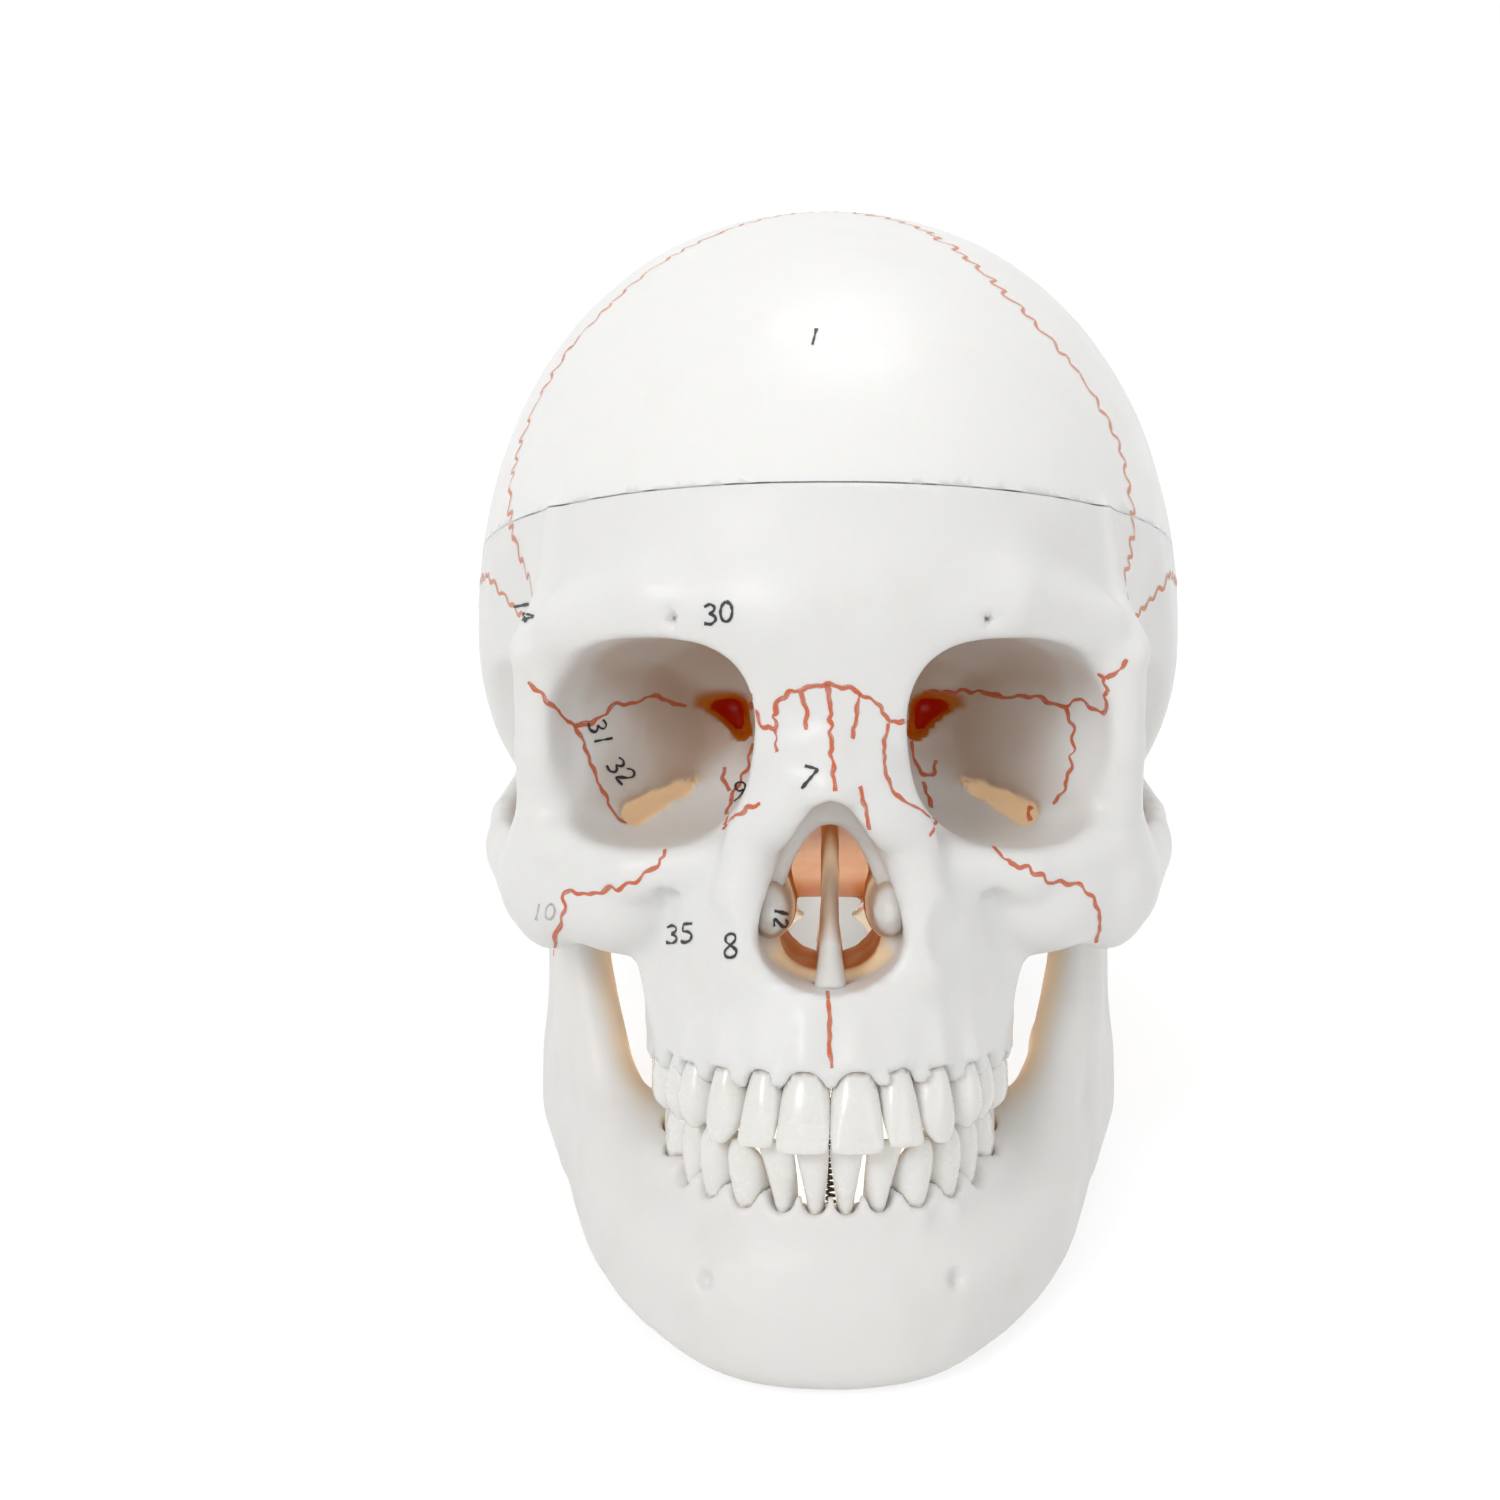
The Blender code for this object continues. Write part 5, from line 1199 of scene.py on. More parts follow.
enamel = enamel_material()
seed = 0
for jaw_name, body, owner in (("upper", "skull_base", "skull_base"), ("lower", "mandible", "mandible")):
    for tooth in rows[jaw_name]:
        for side, mark in (("left", 1), ("right", -1)):
            seed += 1
            node = f"{jaw_name}_{tooth['kind']}_{side}"
            mesh = tooth_mesh(tooth, node, mark, seed)
            grime_from(mesh, [skin_trees[owner]], 0.00035, 0.75)
            piece(node + "_crown", mesh, enamel, body, "enamel", (node,))
print("tooth pieces:", seed)

# %% [markdown]
# ## Inside the nose
# A thin upright septum parts the nose, and a concha of two lobes swells from each side wall. They are made in
# clay as well, kept inside the same pear-shaped passage, so they always fit it.

# %% Septum and conchae
insert_depth, insert_cell = 0.0006, 0.0005


def insert_room(clay):
    """The nasal passage made a little wider, so that what it holds is seated in its wall."""
    return clay.number("SUBTRACT", nasal_passage(clay, nose_half_width), insert_depth)


def septum_mesh():
    """The upright partition, thicker towards its foot."""
    clay = Clay("Septum clay")
    half = clay.size("Septum Half Thickness", 0.0014)
    low = clay.number("MAXIMUM", clay.number("SUBTRACT", -0.0135, clay.up), 0.0)
    half = clay.number("ADD", half, clay.number("MULTIPLY", clay.number("POWER", low, 2.0), 11.0))
    plate = clay.number("SUBTRACT", clay.side, half)
    solid = clay.keep(plate, insert_room(clay), sharp_blend)
    front = clay.plane(Vector((0, -0.0838, -0.0200)), (0, -1, 0.60))
    solid = clay.keep(solid, front, firm_blend)
    solid = clay.keep(solid, clay.plane(Vector((0, -0.0400, 0)), (0, 1, 0.35)), sharp_blend)
    solid = clay.ripple(solid, 0.006, 0.00030)
    low, high = Vector((-0.006, -0.100, -0.032)), Vector((0.006, -0.030, 0.020))
    return clay.solid(solid, low, high, insert_cell, inner_bone)


def concha_mesh(mark):
    """One concha: two balls melted together against the side wall."""
    clay = Clay("Concha clay")
    upper = clay.ball(Vector((0.0086, -0.0640, 0.0010)), Vector((0.0036, 0.0180, 0.0080)))
    lower = clay.ball(Vector((0.0098, -0.0660, -0.0118)), Vector((0.0042, 0.0185, 0.0062)))
    solid = clay.join(upper, lower, firm_blend)
    solid = clay.ripple(clay.keep(solid, insert_room(clay), sharp_blend), 0.004, 0.0005)
    low, high = (0.003, 0.018) if mark > 0 else (-0.018, -0.003)
    near, far = Vector((low, -0.090, -0.028)), Vector((high, -0.045, 0.008))
    return clay.solid(solid, near, far, insert_cell, inner_bone)


def with_nose_shade_and_glow(mesh, foot=-0.030):
    """Store the painted shade and the painted warm glow that grow with depth behind the nose's rim, and above the
    foot.
    """
    for label, most, start, run in (("warmth", 0.60, 0.0770, 0.006), ("hollow", 0.92, 0.0860, 0.009)):
        layer = mesh.attributes.new(label, "FLOAT", "POINT")
        values = [most * min(1.0, max(0.0, (corner.co.y + start) / run))
                  * min(1.0, max(0.0, (corner.co.z - foot) / 0.006)) for corner in mesh.vertices]
        layer.data.foreach_set("value", values)
    return mesh


septum_foot = -0.0225
septum = with_nose_shade_and_glow(septum_mesh(), septum_foot)
piece("nasal_septum_cast", septum, inner_bone, "skull_base", "inner_bone", ("nasal_septum",))
for side, mark in (("left", 1), ("right", -1)):
    concha = with_nose_shade_and_glow(concha_mesh(mark))
    skin_trees["concha_" + side] = skin_tree(concha)
    piece(f"concha_{side}_cast", concha, inner_bone, "skull_base", "inner_bone", (f"concha_{side}",))
print("nose pieces done")

# %% [markdown]
# ## Jaw spring, studs and rim pins
# A coil of dark steel wire behind the front teeth pulls the jaw shut. It hooks on two studs, and
# stretches as the jaw opens, so its points follow the skull at one end and the jaw at the other.

# %% Metal parts
def metal(name, colour, rough):
    """Turned or drawn steel with fine scratches along its length."""
    material = bpy.data.materials.new(name)
    material.use_nodes = True
    tree = material.node_tree
    shader = tree.nodes["Principled BSDF"]
    mottle = use_group(tree, mottle_group, Colour=(*colour, 1),
                       Stain=(colour[0] * 0.6, colour[1] * 0.55, colour[2] * 0.5, 1), Scale=900.0, Amount=0.6)
    tree.links.new(mottle.outputs[0], shader.inputs["Base Color"])
    cast = use_group(tree, pore_group, Fine_Scale=3000.0, Wave_Scale=700.0)
    tree.links.new(spread(tree, cast.outputs["Rough"], 0.0, 1.0, rough - 0.08, rough + 0.1),
                   shader.inputs["Roughness"])
    shader.inputs["Metallic"].default_value = 1.0
    return material


steel = metal("bright_steel", (0.56, 0.56, 0.57), 0.32)
dark_wire = metal("dark_wire", (0.10, 0.075, 0.06), 0.42)
spring_low, spring_high = Vector((0.0005, -0.0780, -0.0715)), Vector((0.0005, -0.0630, -0.0335))
wire_radius, coil_radius, pitch = 0.00027, 0.0014, 0.0010


def spring_mesh(per_turn=18, sides=8):
    """The wound wire as a tube, in the head's frame."""
    axis = (spring_high - spring_low).normalized()
    side = Vector((1, 0, 0))
    other = axis.cross(side).normalized()
    start = 0.0003 + 2 * wire_radius
    length = (spring_high - spring_low).length - 2 * start
    steps = round(length / pitch) * per_turn
    line = coil_radius - wire_radius
    points = [spring_low + axis * 0.0003 + side * line]
    for step in range(steps + 1):
        turn = 2 * math.pi * step / per_turn
        points.append(spring_low + axis * (start + length * step / steps)
                      + (side * math.cos(turn) + other * math.sin(turn)) * line)
    points.append(spring_high - axis * 0.0003 + side * line)
    shape = bmesh.new()
    rings = []
    for index, point in enumerate(points):
        ahead = points[min(index + 1, len(points) - 1)] - points[max(index - 1, 0)]
        first = ahead.cross(axis if ahead.cross(axis).length > ahead.length * 0.2 else side).normalized()
        second = ahead.cross(first).normalized()
        rings.append([shape.verts.new(point + (first * math.cos(2 * math.pi * k / sides)
                                               + second * math.sin(2 * math.pi * k / sides)) * wire_radius)
                      for k in range(sides)])
    for lower, upper in zip(rings, rings[1:]):
        for k in range(sides):
            shape.faces.new((lower[k], lower[(k + 1) % sides], upper[(k + 1) % sides], upper[k]))
    shape.faces.new(list(reversed(rings[0])))
    shape.faces.new(rings[-1])
    bmesh.ops.recalc_face_normals(shape, faces=shape.faces)
    mesh = bpy.data.meshes.new("spring")
    shape.to_mesh(mesh)
    shape.free()
    return mesh


spring = piece("jaw_spring_coil", spring_mesh(), dark_wire, None, "spring_steel", ("jaw_spring",))
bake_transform(spring, "skull_base", "mandible", start=tuple(to_world @ spring_high), end=tuple(to_world @ spring_low))


def turned(name, profile, start, axis, sides=40):
    """A turned piece: rings of (distance, radius) along an axis."""
    side = Vector((1, 0, 0))
    other = axis.cross(side).normalized()
    shape = bmesh.new()
    rings = [[shape.verts.new(start + axis * distance
                              + (side * math.cos(2 * math.pi * k / sides)
                                 + other * math.sin(2 * math.pi * k / sides)) * radius)
              for k in range(sides)] for distance, radius in profile]
    for lower, upper in zip(rings, rings[1:]):
        for k in range(sides):
            shape.faces.new((lower[k], lower[(k + 1) % sides], upper[(k + 1) % sides], upper[k]))
    shape.faces.new(list(reversed(rings[0])))
    shape.faces.new(rings[-1])
    bmesh.ops.recalc_face_normals(shape, faces=shape.faces)
    for edge in shape.edges:
        edge.smooth = edge.calc_face_angle(0) < math.radians(40)
    mesh = bpy.data.meshes.new(name)
    shape.to_mesh(mesh)
    shape.free()
    return mesh


spring_axis = (spring_high - spring_low).normalized()
stud_rings = [(-0.0058, 0.0009), (-0.0009, 0.0009), (-0.0009, 0.0016), (-0.0008, 0.0017), (-0.0001, 0.0017),
              (0, 0.0016), (0, 0.0008), (0.0011, 0.0008), (0.0012, 0.0006)]
for end, start, axis, body in (("lower", spring_low, spring_axis, "mandible"),
                               ("upper", spring_high, -spring_axis, "skull_base")):
    piece(f"spring_stud_{end}_turned", turned("stud", stud_rings, start, axis), steel, body, "steel",
          (f"spring_stud_{end}",))
head_matrix_back = to_world.inverted()
for end in ("front", "left", "right"):
    low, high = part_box("rim_pin_" + end)
    middle = head_matrix_back @ ((Vector(low) + Vector(high)) / 2)
    pin_rings = [(-0.0035, 0.0007), (-0.0032, 0.0010), (0.0031, 0.0010), (0.0035, 0.0006)]
    piece(f"rim_pin_{end}_turned", turned("pin", pin_rings, middle, cut_normal), steel, "skull_base", "steel",
          ("rim_pin_" + end,))
print("metal parts done")

# %% [markdown]
# ## Painted sutures and inked numbers
# On a study skull the sutures, the wiggly seams between the bones, are traced in red-brown paint, and
# small numbers in ink point to the list of bones. Each line is drawn on a plane in front of the face,
# or round the braincase, given a natural wiggle, and projected onto the cast as a thin ribbon.

# %% Lines on the surface
eye = Vector((-0.00239, -0.54834, 0.04629))
view_forward = Vector((0.005218, 0.99648, -0.08368))
view_right = Vector((0.999986, -0.005236, 0))
view_rise = Vector((0.000438, 0.08368, 0.99649))
brain_centre = at((0, 0.090, 0.155))


def facing_point(across, up):
    """A point on the plane before the face, given in millimetres from the middle of the view."""
    return eye + view_forward * 0.45885 + (view_right * across + view_rise * up) / 1000


def resampled(points, step):
    """Points every few tenths of a millimetre along a line."""
    result = []
    for start, end in zip(points, points[1:]):
        count = max(1, round((end - start).length / step))
        result += [start.lerp(end, index / count) for index in range(count)]
    return result + [points[-1]]


def wiggled(points, look, swing, spacing, seed, beat):
    """The line with a natural zigzag, sideways as seen along the look direction."""
    result = []
    for index, point in enumerate(points):
        ahead = points[min(index + 1, len(points) - 1)] - points[max(index - 1, 0)]
        sideways = ahead.cross(look(point)).normalized()
        travel = index * line_step / spacing
        phase = 3.5 * noise.noise(Vector((travel * 0.5, seed * 5.3, 0.1)))
        offset = beat * math.sin(2 * math.pi * travel + phase)
        offset += (1.5 - beat) * noise.noise(Vector((travel * 2.3, seed * 5.3, 4.7)))
        swell = 0.55 + 0.9 * abs(noise.noise(Vector((travel * 0.23, seed * 2.9, 7.7))))
        back = 0.8 * noise.noise(Vector((travel * 1.7, seed * 3.7, 2.2)))
        fade = min(1.0, index / 6, (len(points) - 1 - index) / 6) * swell * swing
        result.append(point + (sideways * offset + ahead.normalized() * back) * fade)
    return result


def landed(origin, direction):
    """The first bone that a ray meets, the place and the surface's direction there."""
    best = None
    for owner, tree_ in skin_trees.items():
        place, normal, _, distance = tree_.ray_cast(origin, direction)
        if place is not None and (best is None or distance < best[3]):
            best = (owner, place, normal, distance)
    return best


line_step = 0.00035


def runs_on_surface(points, look_from):
    """Cut a projected line where it jumps or changes bone."""
    runs, current, last = [], [], None
    for point in points:
        origin, direction = look_from(point)
        hit = landed(origin, direction)
        if hit and last and hit[0] == last[0] and (hit[1] - last[1]).length < 0.0022:
            current.append(hit)
        else:
            if len(current) > 3:
                runs.append(current)
            current = [hit] if hit else []
        last = hit
    if len(current) > 3:
        runs.append(current)
    return runs


ribbons = {}


def lay_ribbon(group, run, half_width, lift, seed):
    """Add one ribbon that lies on the surface to the shape of its group and bone."""
    owner = run[0][0]
    shape = ribbons.setdefault((group, owner), bmesh.new())
    flow = shape.loops.layers.uv.get("flow") or shape.loops.layers.uv.new("flow")
    rows_ = []
    for index, (_, place, normal, _) in enumerate(run):
        ahead = run[min(index + 1, len(run) - 1)][1] - run[max(index - 1, 0)][1]
        sideways = ahead.cross(normal).normalized()
        width = half_width * (0.85 + 0.7 * noise.noise(Vector((index * 0.22, seed * 2.3, 9.1))))
        row = []
        for across in (-1, -0.4, 0.4, 1):
            target = place + sideways * across * width
            near, direction, _, distance = skin_trees[owner].find_nearest(target, 0.003)
            if near is None:
                near, direction = target, normal
            row.append((shape.verts.new(near + direction * lift), across))
        rows_.append(row)
    for index, (low, high) in enumerate(zip(rows_, rows_[1:])):
        for column in range(3):
            corners = (low[column], low[column + 1], high[column + 1], high[column])
            face = shape.faces.new([corner[0] for corner in corners])
            face.smooth = True
            for loop, corner, ahead in zip(face.loops, corners, (0, 0, 1, 1)):
                loop[flow].uv = ((index + ahead) * 0.1 + seed * 17.3, corner[1])


def from_eye(point):
    return eye, (point - eye).normalized()


def from_outside(point):
    direction = (brain_centre - point).normalized()
    return point - direction * 0.05, direction


print("ribbon tools ready")

# %% [markdown]
# ## Where the lines run
# The face lines are traced on the plane in front of the face, in millimetres right and up from the
# middle of the view. The lines of the braincase are places of the head in millimetres.

# %% Tables of the lines
FACE_LINES = {
    "frontozygomatic_right": ((-48.0, 17.9), (-44.2, 14.1), (-40.7, 10.9), (-39.4, 8.9), (-38.3, 5.5),
                              (-35.9, 0.0), (-34.2, -3.2), (-31.8, -4.8)),
    "orbit_back_right": ((-40.7, 10.9), (-37.7, 11.7), (-33.9, 14.4), (-30.4, 14.7), (-28.0, 16.2),
                         (-26.0, 14.7), (-22.9, 14.1)),
    "zygomaxillary_right": ((-26.3, -8.6), (-26.6, -10.3), (-29.1, -12.4), (-31.8, -14.1), (-38.6, -15.8),
                            (-42.4, -15.2), (-42.1, -17.3), (-42.7, -20.0), (-43.5, -22.7), (-43.9, -25.5)),
    "lacrimal_right": ((-12.3, 8.2), (-13.1, 4.3), (-15.7, 0.0), (-16.8, -4.8)),
    "lacrimal_back_right": ((-16.8, 4.4), (-17.1, 2.1), (-16.0, 0.6)),
    "orbit_floor_right": ((-11.2, -1.3), (-13.9, -2.4), (-16.0, -4.1), (-17.1, -5.5)),
    "nasofrontal": ((-12.6, 16.2), (-11.9, 12.4), (-10.6, 10.3), (-8.8, 10.3), (-9.2, 13.0), (-7.7, 15.5),
                    (-5.0, 16.8), (-0.6, 17.6), (4.3, 16.5), (7.3, 14.7), (9.1, 12.4), (9.4, 11.4),
                    (12.1, 11.7)),
    "nasal_edge_right": ((-8.8, 10.3), (-8.5, 6.8)),
    "nasal_side_right": ((-4.7, 16.2), (-3.8, 13.0), (-3.9, 10.3)),
    "internasal": ((-0.6, 17.6), (-0.1, 13.0), (0.0, 8.2), (0.3, 3.5), (0.7, 0.6)),
    "nasal_side_left": ((4.6, 16.2), (4.0, 12.4), (3.4, 8.9)),
    "nasomaxillary_left": ((9.1, 11.4), (8.4, 8.2), (8.6, 4.1), (9.7, 0.6), (12.9, -1.7), (15.6, -3.2),
                           (17.0, -4.4), (15.6, -6.5)),
    "nose_edge_left": ((4.6, 1.4), (5.6, -2.1), (6.1, -5.5)),
    "lacrimal_left": ((12.1, 11.7), (13.5, 5.5), (14.3, 3.0), (16.4, 2.9), (16.7, 5.5)),
    "lacrimal_back_left": ((14.6, 2.1), (15.9, -2.1)),
    "orbit_back_left": ((14.6, 16.3), (23.2, 16.6), (27.6, 15.4), (32.8, 15.7), (37.3, 13.8), (39.3, 15.4),
                        (43.4, 12.7), (43.6, 18.5), (42.3, 19.2)),
    "frontozygomatic_left": ((43.6, 18.5), (45.5, 19.5), (46.9, 21.5)),
    "sphenozygomatic_left": ((37.3, 13.8), (38.7, 9.7), (37.9, 4.8), (37.3, 1.4), (35.2, -1.4)),
    "orbit_floor_left": ((32.8, -1.1), (31.1, -2.4), (31.7, -4.1)),
    "zygomaxillary_left": ((25.5, -7.9), (27.6, -10.3), (31.4, -11.7), (34.6, -13.8), (39.6, -14.1),
                           (41.7, -16.5), (42.8, -20.0), (42.0, -23.4)),
    "intermaxillary": ((-0.6, -30.7), (-0.1, -36.0), (-0.3, -39.6), (0.2, -43.3)),
}
BRAIN_LINES = {
    "coronal_left": ((0, -6, 110), (-14, -16, 108), (-24, -24, 102), (-33.6, -27.5, 94.8), (-40, -29.5, 88.4),
                     (-45.8, -29.5, 82.7), (-50.8, -30, 75.5), (-54.1, -31.5, 67.8), (-55.8, -34.5, 61),
                     (-56.1, -39, 55), (-54.4, -46.8, 49.2), (-51.2, -55, 41.5), (-50.5, -58, 36)),
    "coronal_right": ((0, -6, 110), (12, -16, 107), (22.9, -33, 99), (29.5, -42.4, 91.4), (37.9, -46.6, 82.5),
                      (44.9, -45.8, 74.1), (50.1, -46.4, 63.8), (52, -50.5, 52.6), (50.9, -56.3, 44.9),
                      (48, -62, 36)),
    "sagittal": ((0, -6, 110), (0, 30, 109), (0, 60, 95), (0, 78, 65)),
}
BRAIN_PAIRS = {
    "squamosal": ((52, -55, 32), (57, -42.7, 36.4), (60, -30, 42), (64, -5, 40), (62, 18, 20), (55, 35, 0)),
    "lambdoid": ((0, 78, 65), (20, 72, 45), (40, 58, 20), (56, 38, -2)),
}
NUMBERS = (("1", -2.8, 72.6, 2.6, -3, "ink"), ("30", -18.0, 28.8, 3.3, 8, "ink"),
           ("31", -36.6, 10.0, 2.9, -68, "ink"), ("32", -33.4, 4.0, 2.9, -48, "ink"),
           ("7", -3.9, 2.7, 3.6, -14, "ink"), ("9", -14.9, 0.6, 3.4, -20, "ink"),
           ("10", -45.6, -18.5, 2.6, 0, "faint"), ("35", -24.1, -22.0, 3.0, 4, "ink"),
           ("8", -16.1, -23.9, 3.9, 6, "ink"), ("12", -7.9, -19.3, 2.2, -92, "ink"),
           ("14", -48.6, 29.3, 2.6, -68, "ink"), ("4", -47.7, 65.0, 2.6, 20, "faint"))
STROKES = {
    "0": (((0.3, 1), (0.08, 0.85), (0, 0.5), (0.08, 0.15), (0.3, 0), (0.52, 0.15), (0.6, 0.5),
           (0.52, 0.85), (0.3, 1)),),
    "1": (((0.36, 1), (0.28, 0)),),
    "2": (((0, 0.8), (0.15, 0.97), (0.4, 1), (0.58, 0.8), (0.5, 0.55), (0.2, 0.25), (0, 0), (0.6, 0.03)),),
    "3": (((0.02, 0.88), (0.3, 1), (0.55, 0.8), (0.45, 0.58), (0.2, 0.52), (0.5, 0.42), (0.6, 0.2),
           (0.35, 0), (0, 0.1)),),
    "4": (((0.42, 0), (0.42, 1), (0, 0.35), (0.6, 0.35)),),
    "5": (((0.55, 1), (0.1, 1)), ((0.1, 1), (0.05, 0.58), (0.35, 0.62), (0.58, 0.4), (0.5, 0.1),
                                  (0.2, 0), (0, 0.1))),
    "7": (((0, 1), (0.6, 1), (0.22, 0)),),
    "8": (((0.3, 0.52), (0.08, 0.7), (0.12, 0.93), (0.3, 1), (0.5, 0.93), (0.52, 0.7), (0.3, 0.52),
           (0.05, 0.3), (0.1, 0.07), (0.3, 0), (0.52, 0.07), (0.56, 0.3), (0.3, 0.52)),),
    "9": (((0.55, 0.7), (0.35, 0.5), (0.1, 0.6), (0.05, 0.85), (0.3, 1), (0.52, 0.9), (0.55, 0.7),
           (0.5, 0.3), (0.35, 0)),),
}
print(len(FACE_LINES), "face lines,", len(NUMBERS), "numbers")

# %% [markdown]
# ## Drawing on the cast
# A painter follows the seams with a fine brush and writes the numbers with a pen. Here each line is
# softened, given its zigzag, dropped onto the bone by rays, and laid there as a ribbon.

# %% Lay the lines
def softened(points, rounds=3):
    """Round the corners of a line."""
    for _ in range(rounds):
        points = [points[0]] + [(points[index - 1] + points[index] * 2 + points[index + 1]) / 4
                                for index in range(1, len(points) - 1)] + [points[-1]]
    return points


line_seed = 0
ink_half_width = 0.00031
for label, points in FACE_LINES.items():
    line_seed += 1
    line = softened(resampled([facing_point(*point) for point in points], line_step), 6)
    swing, half_width = (0.00012, 0.00044) if label == "intermaxillary" else (0.00055, 0.00050)
    line = wiggled(line, lambda point: from_eye(point)[1], swing, 0.0030, line_seed, 0.35)
    for run in runs_on_surface(line, from_eye):
        lay_ribbon("suture", run, half_width, 0.00008, line_seed)
brain_lines = [("crown", points) for points in BRAIN_LINES.values()]
brain_lines += [("side", [(mark * x, y, z) for x, y, z in points])
                for points in BRAIN_PAIRS.values() for mark in (1, -1)]
for kind, points in brain_lines:
    line_seed += 1
    line = softened(resampled([Vector(point) / 1000 for point in points], line_step), 12)
    line = wiggled(line, lambda point: from_outside(point)[1], 0.0020 if kind == "crown" else 0.0011,
                   0.0042, line_seed, 0.75)
    for run in runs_on_surface(line, from_outside):
        lay_ribbon("seam", run, 0.00052, 0.00010, line_seed)
for text, right, up, height, tilt, group in NUMBERS:
    line_seed += 1
    start = -0.78 * (len(text) - 1) / 2 - 0.3
    turn = math.radians(tilt)
    for place, digit in enumerate(text):
        for stroke in STROKES[digit]:
            flat = [((start + 0.78 * place + x + 0.12 * y) * height, (y - 0.5) * height) for x, y in stroke]
            flat = [facing_point(right + x * math.cos(turn) - y * math.sin(turn),
                                 up + x * math.sin(turn) + y * math.cos(turn)) for x, y in flat]
            line = softened(resampled(flat, line_step * 0.6), 4)
            for run in runs_on_surface(line, from_eye):
                lay_ribbon(group, run, ink_half_width, 0.00012, line_seed)
print("ribbons:", sorted(ribbons))

# %% [markdown]
# ## Paint and ink
# Brushed paint is thick in some places and nearly gone in others, and it thins out at its edges. The
# ribbon's own coordinates drive both, so that the paint flows along the line.

# %% Paint and ink
def line_material(name, colour, cover, patch, edge_start=0.6, thinnest=0.45):
    """Thin paint that covers unevenly and fades at its edges."""
    material = bpy.data.materials.new(name)
    material.use_nodes = True
    tree = material.node_tree
    shader = tree.nodes["Principled BSDF"]
    flow = tree.nodes.new("ShaderNodeUVMap")
    flow.uv_map = "flow"
    parts = tree.nodes.new("ShaderNodeSeparateXYZ")
    tree.links.new(flow.outputs[0], parts.inputs[0])
    edge = tree.nodes.new("ShaderNodeMath")
    edge.operation = "ABSOLUTE"
    tree.links.new(parts.outputs[1], edge.inputs[0])
    fade = spread(tree, edge.outputs[0], edge_start, 1.0, 1.0, 0.0)
    blot = tree.nodes.new("ShaderNodeTexNoise")
    blot.inputs["Scale"].default_value = 1.6
    blot.inputs["Detail"].default_value = 3.0
    tree.links.new(flow.outputs[0], blot.inputs["Vector"])
    density = spread(tree, blot.outputs[0], 0.5 - patch, 0.5 + patch, cover * thinnest, cover)
    both = tree.nodes.new("ShaderNodeMath")
    both.operation = "MULTIPLY"
    tree.links.new(fade, both.inputs[0])
    tree.links.new(density, both.inputs[1])
    tree.links.new(both.outputs[0], shader.inputs["Alpha"])
    factor, first, second, result = mixer(tree)
    tree.links.new(blot.outputs[0], factor)
    first.default_value = (*colour, 1)
    second.default_value = (*[min(1.0, value * 1.5 + 0.02) for value in colour], 1)
    tree.links.new(result, shader.inputs["Base Color"])
    shader.inputs["Roughness"].default_value = 0.5
    return material


LINE_MATERIALS = {"suture": line_material("suture_paint", (0.52, 0.080, 0.008), 0.97, 0.25),
                  "seam": line_material("skullcap_paint", (0.60, 0.19, 0.075), 0.92, 0.30),
                  "ink": line_material("black_ink", (0.008, 0.008, 0.009), 1.0, 0.10, 0.8, 0.92),
                  "faint": line_material("worn_ink", (0.16, 0.14, 0.14), 0.45, 0.20)}
CARRIERS = {"skull_base": ("skull_base", "bone"), "calvaria": ("calvaria", "cap_bone"),
            "mandible": ("mandible", "jaw_bone"), "concha_left": ("skull_base", "inner_bone"),
            "concha_right": ("skull_base", "inner_bone")}
for (group, owner), shape in ribbons.items():
    mesh = bpy.data.meshes.new(f"{group}_{owner}")
    shape.to_mesh(mesh)
    shape.free()
    mesh.transform(to_world)
    mesh.materials.append(LINE_MATERIALS[group])
    thing = bpy.data.objects.new(f"{group}_on_{owner}", mesh)
    bpy.context.collection.objects.link(thing)
    body, slot = CARRIERS[owner]
    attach(thing, body)
print("line pieces:", len(ribbons))

# %% [markdown]
# ## Camera, light and table
# The photograph is taken from a little above, on a white sweep, with a big soft light from the upper
# left and a weaker one from the right.

# %% Camera
camera_data = bpy.data.cameras.new("camera")
camera_data.sensor_width = 36
camera_data.lens = 69.5
camera_data.shift_x, camera_data.shift_y = -0.05387, 0.03
camera_data.clip_start = 0.01
camera = bpy.data.objects.new("camera", camera_data)
camera.matrix_world = Matrix(((0.999986, 0.000438, -0.005218, -0.002391),
                              (-0.004936, 0.411513, -0.91139, -0.492335),
                              (0.001748, 0.911404, 0.41151, 0.281874), (0, 0, 0, 1)))
bpy.context.collection.objects.link(camera)
bpy.context.scene.camera = camera
bpy.context.scene.view_settings.view_transform = "Standard"
print("camera at", [round(value, 3) for value in camera.matrix_world.translation])

# %% [markdown]
# ## Light and sweep
# Three soft lamps stand for the studio boxes. Two small hidden lamps stand for light that the cast lets
# through: a white one lights the inner back wall, which shows through the nose, and a warm one lights
# the inner side of the jaw. The sweep is white to the eye and still holds the soft shadow.

# %% Lamps, world and floor
def soft_lamp(name, place, target, size, power, colour=(1, 1, 1)):
    lamp_data = bpy.data.lights.new(name, "AREA")
    lamp_data.shape = "DISK"
    lamp_data.size = size
    lamp_data.energy = power
    lamp_data.color = colour
    lamp = bpy.data.objects.new(name, lamp_data)
    lamp.location = place
    lamp.rotation_euler = (Vector(target) - Vector(place)).to_track_quat("-Z", "Y").to_euler()
    bpy.context.collection.objects.link(lamp)


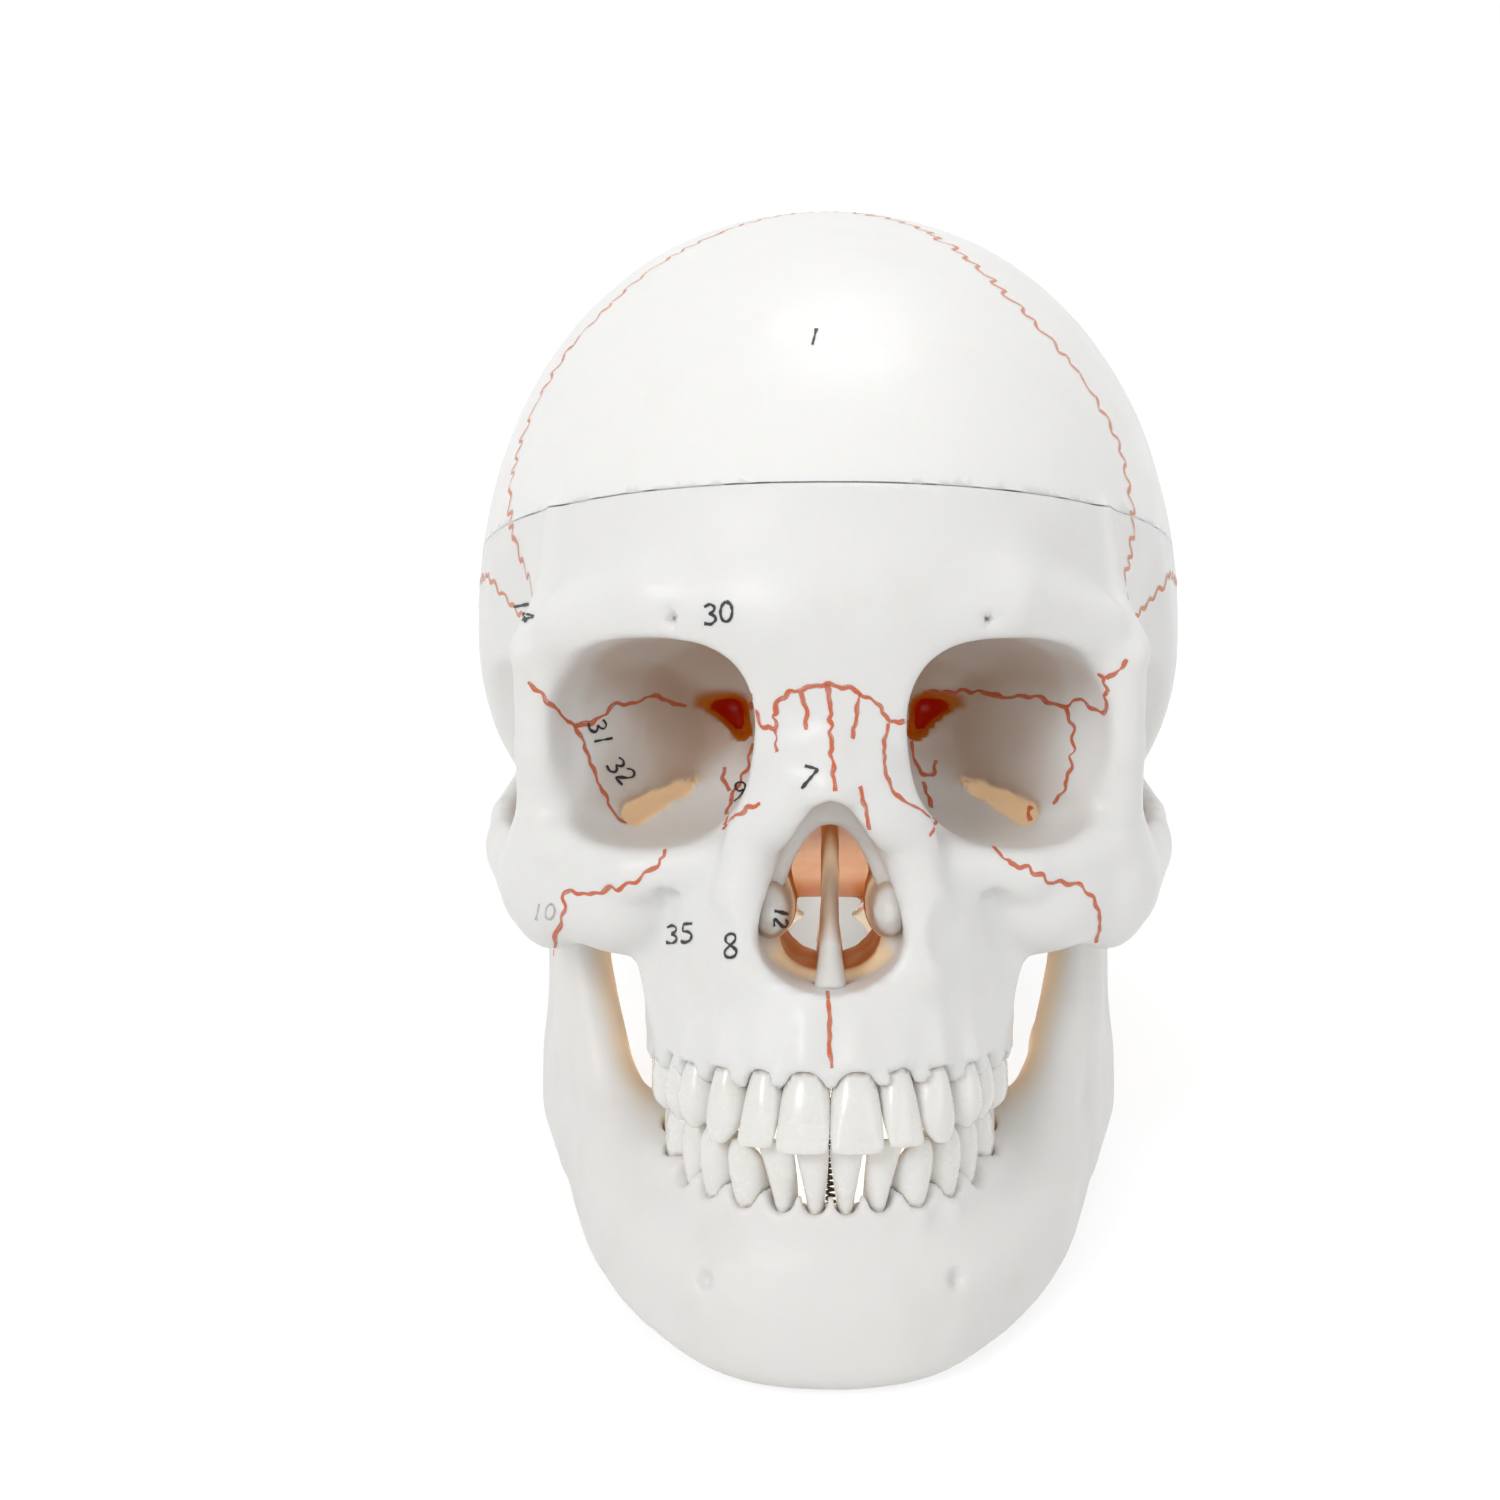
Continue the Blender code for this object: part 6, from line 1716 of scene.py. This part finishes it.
middle = (0, 0, 0.09)
soft_lamp("key", (-0.75, -0.95, 1.05), middle, 0.60, 7.0, (1.0, 0.995, 0.985))
soft_lamp("fill", (1.10, -0.80, 0.55), middle, 0.90, 2.0, (0.99, 0.995, 1.0))
soft_lamp("top", (0.1, 0.55, 1.3), middle, 0.8, 3.5)


def inner_lamp(name, place, radius, power, colour):
    """Light that has come through the thin walls: a small lamp that the camera doesn't see."""
    lamp_data = bpy.data.lights.new(name, "POINT")
    lamp_data.shadow_soft_size = radius
    lamp_data.energy = power
    lamp_data.color = colour
    lamp = bpy.data.objects.new(name, lamp_data)
    lamp.location = to_world @ Vector(place)
    lamp.visible_camera = False
    bpy.context.collection.objects.link(lamp)


inner_lamp("through_the_back", (0, 0.045, -0.011), 0.008, 0.0135, (1.0, 0.98, 0.96))
inner_lamp("through_the_jaw", (0, -0.030, -0.048), 0.008, 0.020, (1.0, 0.80, 0.58))


def looked_at(tree):
    """One for rays that see the background: straight, in a shiny surface, or through a clear one."""
    rays = tree.nodes.new("ShaderNodeLightPath")
    result = rays.outputs["Is Camera Ray"]
    for label in ("Is Glossy Ray", "Is Transmission Ray"):
        either = tree.nodes.new("ShaderNodeMath")
        either.operation = "MAXIMUM"
        tree.links.new(result, either.inputs[0])
        tree.links.new(rays.outputs[label], either.inputs[1])
        result = either.outputs[0]
    return result


world = bpy.data.worlds.new("room")
bpy.context.scene.world = world
world.use_nodes = True
tree = world.node_tree
tree.nodes.clear()
seen, lit = tree.nodes.new("ShaderNodeBackground"), tree.nodes.new("ShaderNodeBackground")
seen.inputs["Strength"].default_value = 1.0
seen.inputs["Color"].default_value = (1, 1, 1, 1)
lit.inputs["Strength"].default_value = 0.62
lit.inputs["Color"].default_value = (1, 1, 1, 1)
choice = tree.nodes.new("ShaderNodeMixShader")
output = tree.nodes.new("ShaderNodeOutputWorld")
tree.links.new(looked_at(tree), choice.inputs[0])
tree.links.new(lit.outputs[0], choice.inputs[1])
tree.links.new(seen.outputs[0], choice.inputs[2])
tree.links.new(choice.outputs[0], output.inputs[0])

floor_mesh = bpy.data.meshes.new("floor")
floor_shape = bmesh.new()
bmesh.ops.create_grid(floor_shape, x_segments=1, y_segments=1, size=6)
floor_shape.to_mesh(floor_mesh)
floor_shape.free()
floor = bpy.data.objects.new("floor", floor_mesh)
bpy.context.collection.objects.link(floor)
paper = bpy.data.materials.new("white_sweep")
paper.use_nodes = True
tree = paper.node_tree
tree.nodes.clear()
seen_paper, paper_glow = tree.nodes.new("ShaderNodeBsdfDiffuse"), tree.nodes.new("ShaderNodeEmission")
seen_paper.inputs["Color"].default_value = (0.30, 0.30, 0.30, 1)
paper_glow.inputs["Strength"].default_value = 0.78
lit_paper, total = tree.nodes.new("ShaderNodeBsdfDiffuse"), tree.nodes.new("ShaderNodeAddShader")
lit_paper.inputs["Color"].default_value = (0.82, 0.82, 0.82, 1)
choice = tree.nodes.new("ShaderNodeMixShader")
output = tree.nodes.new("ShaderNodeOutputMaterial")
tree.links.new(seen_paper.outputs[0], total.inputs[0])
tree.links.new(paper_glow.outputs[0], total.inputs[1])
tree.links.new(looked_at(tree), choice.inputs[0])
tree.links.new(lit_paper.outputs[0], choice.inputs[1])
tree.links.new(total.outputs[0], choice.inputs[2])
tree.links.new(choice.outputs[0], output.inputs[0])
floor_mesh.materials.append(paper)
print("lamps:", len(bpy.data.lights))
